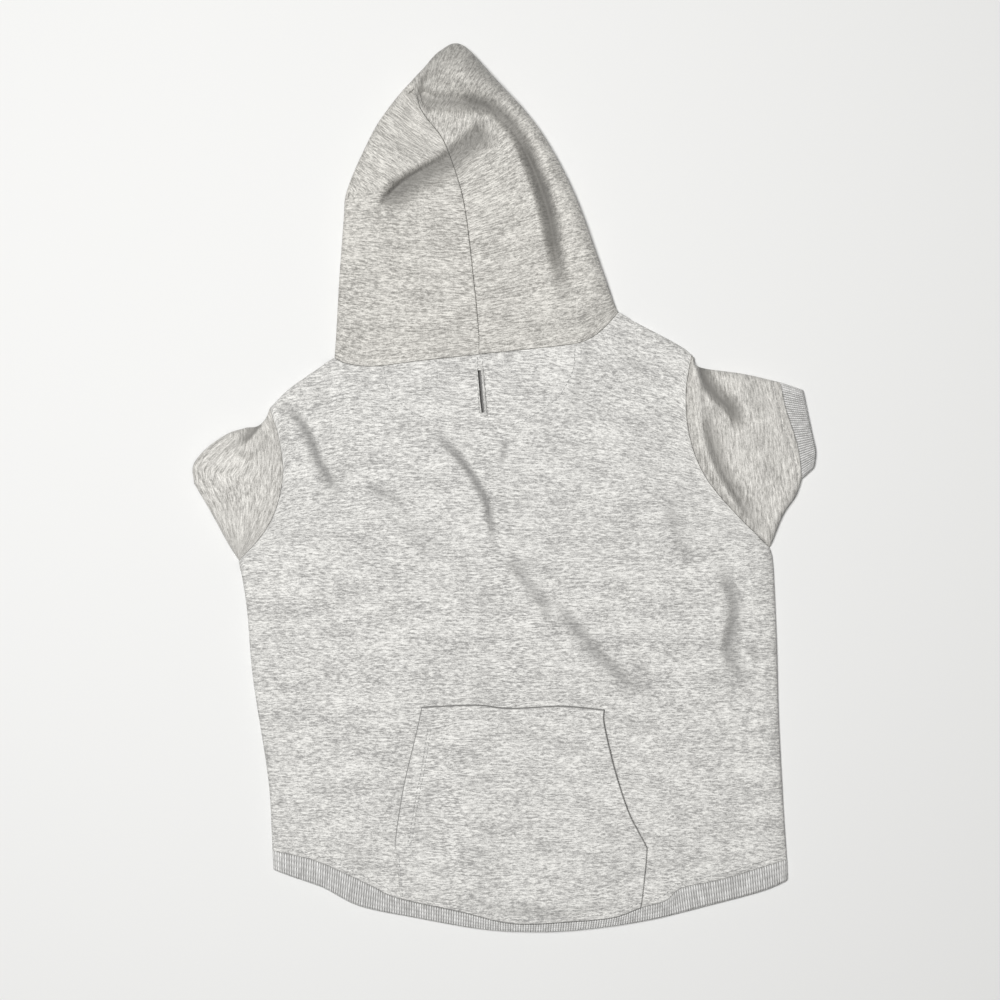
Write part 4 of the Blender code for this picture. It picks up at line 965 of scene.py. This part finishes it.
def hood_half(name, table, neck, side, columns, material):
    """A half from the centre seam over the top to its rolled outline, and back below."""
    rows = round(HOOD_LENGTH / FINE_STEP)
    neck_edge = edge_lines(np.zeros(1))
    # The halves meet at the top with hardly a dip.
    top_edge = 0.5 * neck_edge[0], 0.97 + 0.03 * neck_edge[1]
    t, t_height = lines_between(rows, neck_edge, top_edge, HOOD_SEAM_LENGTH)
    t, t_height = t[0], t_height[0]
    along, edge, face, height = (
        Line([np.atleast_1d(getattr(row, column)) for row in table], by_row=True)(t)
        for column in Section._fields)
    # At the neck the hood is no higher than the body that it is sewn to.
    from_neck = smooth_step(t * HOOD_SEAM_LENGTH / NECK_RISE)
    height = BODY_Z + from_neck * (height[:, 0] - BODY_Z)
    middle_height = (BODY_Z + from_neck * (HOOD_Z - BODY_Z))[:, None]
    seam = offset_line(Line(HOOD_SEAM)(along[:, 0]), side * GAP / 2)
    width = np.linalg.norm(edge - seam, axis=-1)
    scale = np.minimum(height / 6.0, 0.42 * width / EDGE_REACH)
    u, share = lines_between(columns, edge_lines(0 * t), edge_lines(1 + 0 * t, scale), width)

    # Near the neck the rows bend to follow its seam, above and below.
    at_neck = offset(neck, -side * GAP)
    fade = np.clip(1 - t / 0.28, 0, 1)[:, None, None] ** 2
    chord = (edge - seam)[:, None]
    top = seam[:, None] + u[..., None] * chord
    top = top + fade * (at_neck(u) - seam[0] - u[..., None] * chord[0])
    back = np.linspace(0, 1, 26)[1:]
    fold = top[:, -1:]
    below = fold + back[:, None] * (face[:, None] - fold)
    below = below + fade * (at_neck(1 - back) - fold[0] - back[:, None] * (face[0] - fold[0]))

    smooth = middle_height + smooth_step((u - 0.35) / 0.45) * (height[:, None] - middle_height)
    waves = (unevenness(top, height=0.2, wavelength=32, seed=11)
             + unevenness(top, height=0.08, wavelength=13, seed=12))
    z = np.maximum(smooth + relief(top, HOOD_FOLDS) + waves, LOWEST_HOOD_Z)
    share = share * t_height[:, None]
    shape = np.concatenate([lifted(top, z * share), lifted(below, 0.0)], 1)
    plain = np.concatenate([lifted(top, smooth * share), lifted(below, 0.0)], 1)
    across = arc(shape, 1)
    along = np.broadcast_to(arc(shape, 0).mean(1)[:, None], across.shape)
    # Each piece has its own stretch of the marl, so that no two are alike.
    uv = np.stack([side * across, along + 200 * side], -1)
    if side < 0:
        shape, plain, uv = shape[:, ::-1], plain[:, ::-1], uv[:, ::-1]
    inner = folded_inner_face(shape, plain, clear=0.05)
    return shell(name, shape, inner, uv, material, turned=turned_share(shape[..., :2], side),
                 gap=painted_fold_shade_above(shape, HOOD_FOLDS))


def turned_share(xy, side):
    """Where the folded cloth lies with its streaks turned: left, above the valley that the bulge
    hangs over, and right, on the slope between the tip and that valley."""
    x, y = xy[..., 0], xy[..., 1]
    if side < 0:
        line_x, line_y, blur = (-96.0, -58.0, -30.0), (172.0, 185.0, 200.0), (24.0, 8.0, 3.0)
        above = y - np.interp(x, line_x, line_y)
        return smooth_step(0.5 + above / np.interp(x, line_x, blur))
    return (smooth_step((y - 199.0) / 10.0) * smooth_step((232.0 - y) / 6.0)
            * smooth_step((2.0 - x) / 12.0))


# ---- Sleeves and rib -------------------------------------------------------------------------------

def right_sleeve():
    """A flat tube from the armhole to the cuff, with its rolled sides above and below."""
    rows = round(SLEEVE_LENGTH / FINE_STEP)
    ends = edge_lines(np.zeros(1))
    t, t_height = lines_between(rows, ends, ends, SLEEVE_LENGTH)
    t, t_height = t[0], t_height[0]
    armhole = Line(RIGHT_ARMHOLE)
    root = offset(Line(armhole(np.linspace(1, 0, 120)), smooth=False), -GAP)
    seam = Line(RIGHT_CUFF_SEAM[::-1])
    upper = Line([root(0), *RIGHT_SLEEVE_TOP[1:]])
    lower = Line([root(1), *RIGHT_SLEEVE_UNDER[1:]])
    length = np.linalg.norm(upper(t) - lower(t), axis=-1)
    edge = edge_lines(1 + 0 * t, 1.15)
    u, share = lines_between(60, edge, edge, length)
    v = np.tile(t[:, None], (1, u.shape[1]))
    xy = coons(root, seam, upper, lower, u, v)
    at_root = np.exp(-v / 0.05)
    smooth = SLEEVE_Z * (1 - 0.42 * at_root - 0.2 * v**3)
    folds = relief(xy, RIGHT_SLEEVE_FOLDS) + unevenness(xy, height=0.12, wavelength=22, seed=21)
    z = np.maximum(smooth + folds * (1 - at_root), LOWEST_SLEEVE_Z)
    share = share * (0.35 + 0.65 * t_height[:, None])
    below = np.tile(np.linspace(1, 0, 40)[1:-1], (len(t), 1))
    under = lifted(coons(root, seam, upper, lower, below, v[:, :below.shape[1]]), 0.0)
    shape = np.concatenate([lifted(xy, z * share), under], 1)
    plain = np.concatenate([lifted(xy, smooth * share), under], 1)
    inner = folded_inner_face(shape, plain, clear=0.1, closed=True)
    wrapped = np.concatenate([shape, shape[:, :1]], 1)
    # The cloth's courses run from the top of the sleeve down, whatever its folds do.
    uv = np.stack([wrapped[..., 1], wrapped[..., 0] + 0.12 * wrapped[..., 1] + 420], -1)
    return shell("sleeve_right_cloth", shape, inner, uv, SLEEVE_CLOTH, closed=True,
                 gap=painted_fold_shade_above(shape, RIGHT_SLEEVE_FOLDS))


def rib_band(name, low_edge, high_edge, top):
    """A flattened ring of rib: the ribs stand up on its top, over a plain inside."""
    across_band, tops, ribbed = Line(top, by_row=True)(np.linspace(0, 1, 16)).T
    across_band = np.clip(across_band, 0, 1)
    near, near_share = edge_lines(np.ones(1))
    near, near_share = near[0] * 0.8 / low_edge.length, near_share[0]
    count = WALE_POINTS * round(low_edge.length / WALE)
    middle = np.linspace(near[-1], 1 - near[-1], count + 1)[1:-1]
    across = np.concatenate([near, middle, 1 - near[::-1]])
    share = np.concatenate([near_share, np.ones(len(middle)), near_share[::-1]])
    wave = np.abs(np.sin(np.pi * across * low_edge.length / WALE)) ** 0.7
    groove = WALE_HEIGHT * (1 - wave) * smooth_step((share - 0.3) / 0.5)

    def band(shares, z):
        low, high = low_edge(shares), high_edge(shares)
        return lifted(low + across_band[:, None, None] * (high - low), z)

    curl, end = 2.6 / low_edge.length, 3.2 / low_edge.length
    below = np.linspace(1 - curl, curl, 90)[1:-1]
    outer_top = band(across, (tops[:, None] - ribbed[:, None] * groove) * share)
    outer = np.concatenate([outer_top, band(below, 0.0)], 1)
    inside, inner_below = (np.clip(shares, end, 1 - end) for shares in (across, below))
    hollow = np.maximum((tops[:, None] - RIB_WALL) * np.ones(len(inside)), RIB_WALL * 0.75)
    inner = np.concatenate([band(inside, hollow), band(inner_below, 0.6 * RIB_WALL)], 1)
    # The map counts in whole wales, so that its stitches sit on the raised ones.
    round_band = np.concatenate([across, 2 - below, [2.0]]) * low_edge.length
    along = arc(outer, 0)[:, [len(across) // 2]]
    uv = np.stack(np.broadcast_arrays(round_band[None], along), -1)
    return shell(name, outer, inner, uv, RIB_CLOTH, closed=True)


def hem_rib():
    return rib_band("hem_rib_knit", Line(HEM_EDGE), offset(hem_seam, GAP), HEM_TOP)


def right_cuff():
    seam = offset(Line(RIGHT_CUFF_SEAM[::-1]), -GAP)
    return rib_band("cuff_right_knit", seam, Line(RIGHT_CUFF_EDGE[::-1]), CUFF_TOP)


def left_sleeve():
    """The upper layer of the folded sleeve, over the layers that are turned under it."""
    armhole = Line(LEFT_ARMHOLE)
    root = offset(armhole, -GAP)
    under = Line([root(0), *LEFT_SLEEVE_UNDER[1:]])
    top = Line([root(1), *LEFT_SLEEVE_TOP[1:]])
    fold = Line(LEFT_SLEEVE_FOLD)
    columns = round(FOLDED_SLEEVE_WIDTH / FINE_STEP)
    rows = round(FOLDED_SLEEVE_LENGTH / FINE_STEP)
    edge = edge_lines(np.zeros(rows + 2 * EDGE_LINES))
    u = lines_between(columns, edge, edge, root.length)[0]
    length = under.length + u[0] * (top.length - under.length)
    crossing = edge_lines(np.zeros(len(length)))
    v = lines_between(rows, crossing, crossing, length)[0].T
    xy = coons(root, fold, under, top, u, v)
    # It rounds off towards its whole outline, but for the armhole.
    outline = joined(under, fold, Line(top(np.linspace(1, 0, 40))))[0]
    inward = np.clip(distance_to(outline, xy) / FOLDED_EDGE, 0, 1)
    share = 0.3 + 0.7 * (1 - (1 - inward) ** 2.4) ** 0.6
    from_armhole = v * (under.length + u * (top.length - under.length))
    rise = BODY_Z + (FOLDED_SLEEVE_Z - BODY_Z) * (1 - np.exp(-from_armhole / 8.0))
    folds = relief(xy, LEFT_SLEEVE_FOLDS) + unevenness(xy, height=0.12, wavelength=24, seed=31)
    z = np.maximum(rise + folds * (1 - np.exp(-from_armhole / 4.0)), LOWEST_FOLDED_Z)
    outer = lifted(xy, z * share)
    inner = lifted(xy, np.maximum(outer[..., 2] - CLOTH, LOWEST_INNER_Z))
    # The courses fan out from the armpit, between the armhole and the sleeve's outer edge.
    edge = joined(Line(LEFT_SLEEVE_UNDER), Line(LEFT_SLEEVE_FOLD[:4]))[0]
    to_root, to_edge = (distance_to(line, xy) for line in (armhole, edge))
    across = 42.0 * to_root / np.maximum(to_root + to_edge, 0.1)
    uv = np.stack([1.1 * xy[..., 1], across + 610], -1)
    return shell("sleeve_left_cloth", outer, inner, uv, SLEEVE_CLOTH,
                 gap=relief(xy, LEFT_SLEEVE_FOLDS, pinch=True))


# ---- Stitches --------------------------------------------------------------------------------------

SLIT_BOX = [
    (-15.8, 78.5), (-16.0, 71.0), (-15.6, 60.0), (-15.0, 50.0), (-14.2, 44.4), (-12.2, 43.2),
    (-10.6, 45.4), (-10.4, 51.0), (-10.9, 60.8), (-12.4, 71.0), (-13.0, 78.5),
]
POCKET_DOUBLE = [(-45.5, -144.4), (-49.6, -169.9), (-52.4, -183.7), (-55.8, -204.3), (-57.2, -211.2)]
POCKET_SIDE = [(-62.8, -220.0), (-61.4, -236.5), (-60.6, -243.0)]
CUFF_LINE = [(161.8, 62.0), (164.2, 49.6), (167.3, 37.6), (171.2, 27.6), (175.0, 15.6), (176.2, 9.0)]


def stitch_tree():
    """Beads of thread, one after another along every line of a piece."""
    tree = bpy.data.node_groups.new("stitches", "GeometryNodeTree")
    ends = tree.interface
    for name, kind in (("Lines", "Geometry"), ("Pitch", "Float"), ("Stitch", "Float"),
                       ("Thread", "Float"), ("Seed", "Int"), ("Material", "Material")):
        ends.new_socket(name, in_out="INPUT", socket_type="NodeSocket" + kind)
    ends.new_socket("Stitches", in_out="OUTPUT", socket_type="NodeSocketGeometry")

    def add(kind, **sockets):
        node = tree.nodes.new(kind)
        for name, value in sockets.items():
            socket = node.inputs[name.replace("_", " ")]
            if isinstance(value, bpy.types.NodeSocket):
                tree.links.new(value, socket)
            else:
                socket.default_value = value
        return node

    given = add("NodeGroupInput").outputs
    curve = add("GeometryNodeMeshToCurve", Mesh=given["Lines"]).outputs["Curve"]
    points = add("GeometryNodeResampleCurve", Curve=curve)
    points.mode = "LENGTH"
    tree.links.new(given["Pitch"], points.inputs["Length"])
    bead = add("GeometryNodeMeshUVSphere", Segments=6, Rings=5, Radius=0.5).outputs["Mesh"]
    tangent = add("GeometryNodeInputTangent").outputs["Tangent"]
    turn = add("FunctionNodeAlignRotationToVector", Vector=tangent)
    turn.axis = "X"
    uneven = tree.nodes.new("FunctionNodeRandomValue")
    uneven.data_type = "FLOAT"
    uneven.inputs[2].default_value, uneven.inputs[3].default_value = 0.85, 1.1
    tree.links.new(given["Seed"], uneven.inputs["Seed"])
    longer = tree.nodes.new("ShaderNodeMath")
    longer.operation = "MULTIPLY"
    tree.links.new(given["Stitch"], longer.inputs[0])
    tree.links.new(uneven.outputs[1], longer.inputs[1])
    size = add("ShaderNodeCombineXYZ", X=longer.outputs[0], Y=given["Thread"], Z=given["Thread"])
    laid = add("GeometryNodeInstanceOnPoints", Points=points.outputs["Curve"], Instance=bead,
               Rotation=turn.outputs["Rotation"], Scale=size.outputs[0])
    real = add("GeometryNodeRealizeInstances", Geometry=laid.outputs["Instances"])
    smooth = add("GeometryNodeSetShadeSmooth", Geometry=real.outputs["Geometry"])
    painted = add("GeometryNodeSetMaterial", Geometry=smooth.outputs["Geometry"],
                  Material=given["Material"])
    add("NodeGroupOutput", Stitches=painted.outputs["Geometry"])
    return tree


STITCHES = stitch_tree()
TRACE_STEP = 1.2       # in mm, between the points of a line of stitches that is laid on cloth
ABOVE_ALL = 0.1        # in metres, where the rays that find the cloth's height begin


def sew(name, cloths, paths, seed):
    """Stitches along lines laid on the topmost of some pieces of cloth."""
    tops = [BVHTree.FromPolygons([v.co for v in cloth.data.vertices],
                                 [p.vertices for p in cloth.data.polygons]) for cloth in cloths]
    points, edges = [], []
    for path in paths:
        line = Line(path)
        first = len(points)
        for x, y in line(np.linspace(0, 1, int(line.length / TRACE_STEP))) * MM:
            hits = [top.ray_cast((x, y, ABOVE_ALL), (0, 0, -1))[0] for top in tops]
            heights = [hit.z for hit in hits if hit is not None]
            if heights:
                points.append((x, y, max(heights) + STITCH_LIFT * MM))
        edges += [(a, a + 1) for a in range(first, len(points) - 1)]
    mesh = bpy.data.meshes.new(name)
    mesh.from_pydata(points, edges, [])
    piece = placed(name, mesh)
    stitched = piece.modifiers.new("stitches", "NODES")
    stitched.node_group = STITCHES
    given = {"Pitch": STITCH_PITCH * MM, "Stitch": STITCH_LENGTH * MM,
             "Thread": THREAD_WIDTH * MM, "Seed": seed, "Material": THREAD}
    for socket in STITCHES.interface.items_tree:
        if socket.name in given:
            stitched[socket.identifier] = given[socket.name]
    as_plain_mesh(piece)
    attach(piece, "root")
    return piece


# ---- Put together ----------------------------------------------------------------------------------

# The stitches above the hem, in three stretches: on the pocket's foot and to both sides of it.
above_hem = offset(hem_seam, -HEM_STITCH_INSET)(np.linspace(0, 1, 160))
on_pocket = above_hem[(above_hem[:, 0] > -61.0) & (above_hem[:, 0] < 82.0)]
left_of_pocket = above_hem[above_hem[:, 0] < -65.0][2:]
right_of_pocket = above_hem[above_hem[:, 0] > 85.0][:-2]

binding = stands_for(slit_binding(), "leash_slit_binding")
belly = finish(belly_panel(), "belly_panel")
back = cut_slit(back_panel())
back_stitches = sew("back_stitches", [back, binding],
                    [HALF_MOON, SLIT_BOX, left_of_pocket, right_of_pocket], 3)
finish(back, "back_panel")
pocket_piece = pocket()
double = np.array(POCKET_DOUBLE)
pocket_lines = [double, offset_line(double, -DOUBLE_SPACING), POCKET_SIDE, on_pocket]
pocket_stitches = sew("pocket_stitches", [pocket_piece], pocket_lines, 5)
finish(pocket_piece, "pocket")

hood_left = hood_half("hood_left_cloth", HOOD_LEFT, Line(NECK_LEFT[::-1]), -1, 56, HOOD_LEFT_CLOTH)
finish(hood_left, "hood_left")
hood_right = hood_half("hood_right_cloth", HOOD_RIGHT, Line(NECK_RIGHT), 1, 62, HOOD_RIGHT_CLOTH)
finish(hood_right, "hood_right")

sleeve = right_sleeve()
cuff_stitches = sew("cuff_line_stitches", [sleeve], [CUFF_LINE], 7)
finish(sleeve, "sleeve_right")
finish(right_cuff(), "cuff_right")
finish(hem_rib(), "hem_rib")
finish(left_sleeve(), "sleeve_left")

# Nothing shows of the left cuff and of the layers under the left sleeve: these stay solids.
for hidden in ("cuff_left", "sleeve_left_layers"):
    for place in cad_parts[hidden].material_slots:
        place.material = HIDDEN_CLOTH


# ---- Floor, light and camera -----------------------------------------------------------------------

FLOOR_REACH = 3.0              # in metres, as are the next two
VIEW_WIDTH = 0.6               # across the picture, on the plane through the next point
VIEW_MIDDLE = (-0.0022, -0.0068, 0.005)
LENS, SENSOR = 85.0, 36.0      # in mm


def studio():
    """A pale floor, a soft light nearly overhead and a camera straight above."""
    mesh = bpy.data.meshes.new("floor")
    reach = FLOOR_REACH
    mesh.from_pydata([(-reach, -reach, 0), (reach, -reach, 0), (reach, reach, 0),
                      (-reach, reach, 0)], [], [(0, 1, 2, 3)])
    floor = placed("floor", mesh)
    tree = Tree("floor")
    tree.shader.inputs["Base Color"].default_value = colour(0.80, 0.80, 0.79)
    tree.shader.inputs["Roughness"].default_value = 0.8
    mesh.materials.append(tree.material)

    def light(name, place, size, power):
        """A round soft lamp, in metres and watts, turned towards the garment's middle."""
        lamp = bpy.data.lights.new(name, "AREA")
        lamp.shape = "DISK"
        lamp.size = size
        lamp.energy = power
        source = placed(name, lamp)
        source.location = place
        aim = -np.array(place)
        source.rotation_euler = (np.arccos(-aim[2] / np.linalg.norm(aim)), 0,
                                 np.arctan2(aim[1], aim[0]) - np.pi / 2)

    light("key_light", (-0.38, 0.24, 1.83), 0.6, 34.0)
    light("fill_light", (0.9, -0.6, 2.0), 1.6, 2.0)
    world = bpy.data.worlds.new("soft_room")
    world.use_nodes = True
    world.node_tree.nodes["Background"].inputs["Color"].default_value = colour(1.0, 0.99, 0.97)
    world.node_tree.nodes["Background"].inputs["Strength"].default_value = 0.15
    bpy.context.scene.world = world

    lens = bpy.data.cameras.new("camera")
    lens.lens = LENS
    lens.sensor_width = SENSOR
    camera = placed("camera", lens)
    x, y, z = VIEW_MIDDLE
    camera.location = (x, y, VIEW_WIDTH * LENS / SENSOR + z)
    bpy.context.scene.camera = camera
    bpy.context.scene.view_settings.view_transform = "Standard"


studio()
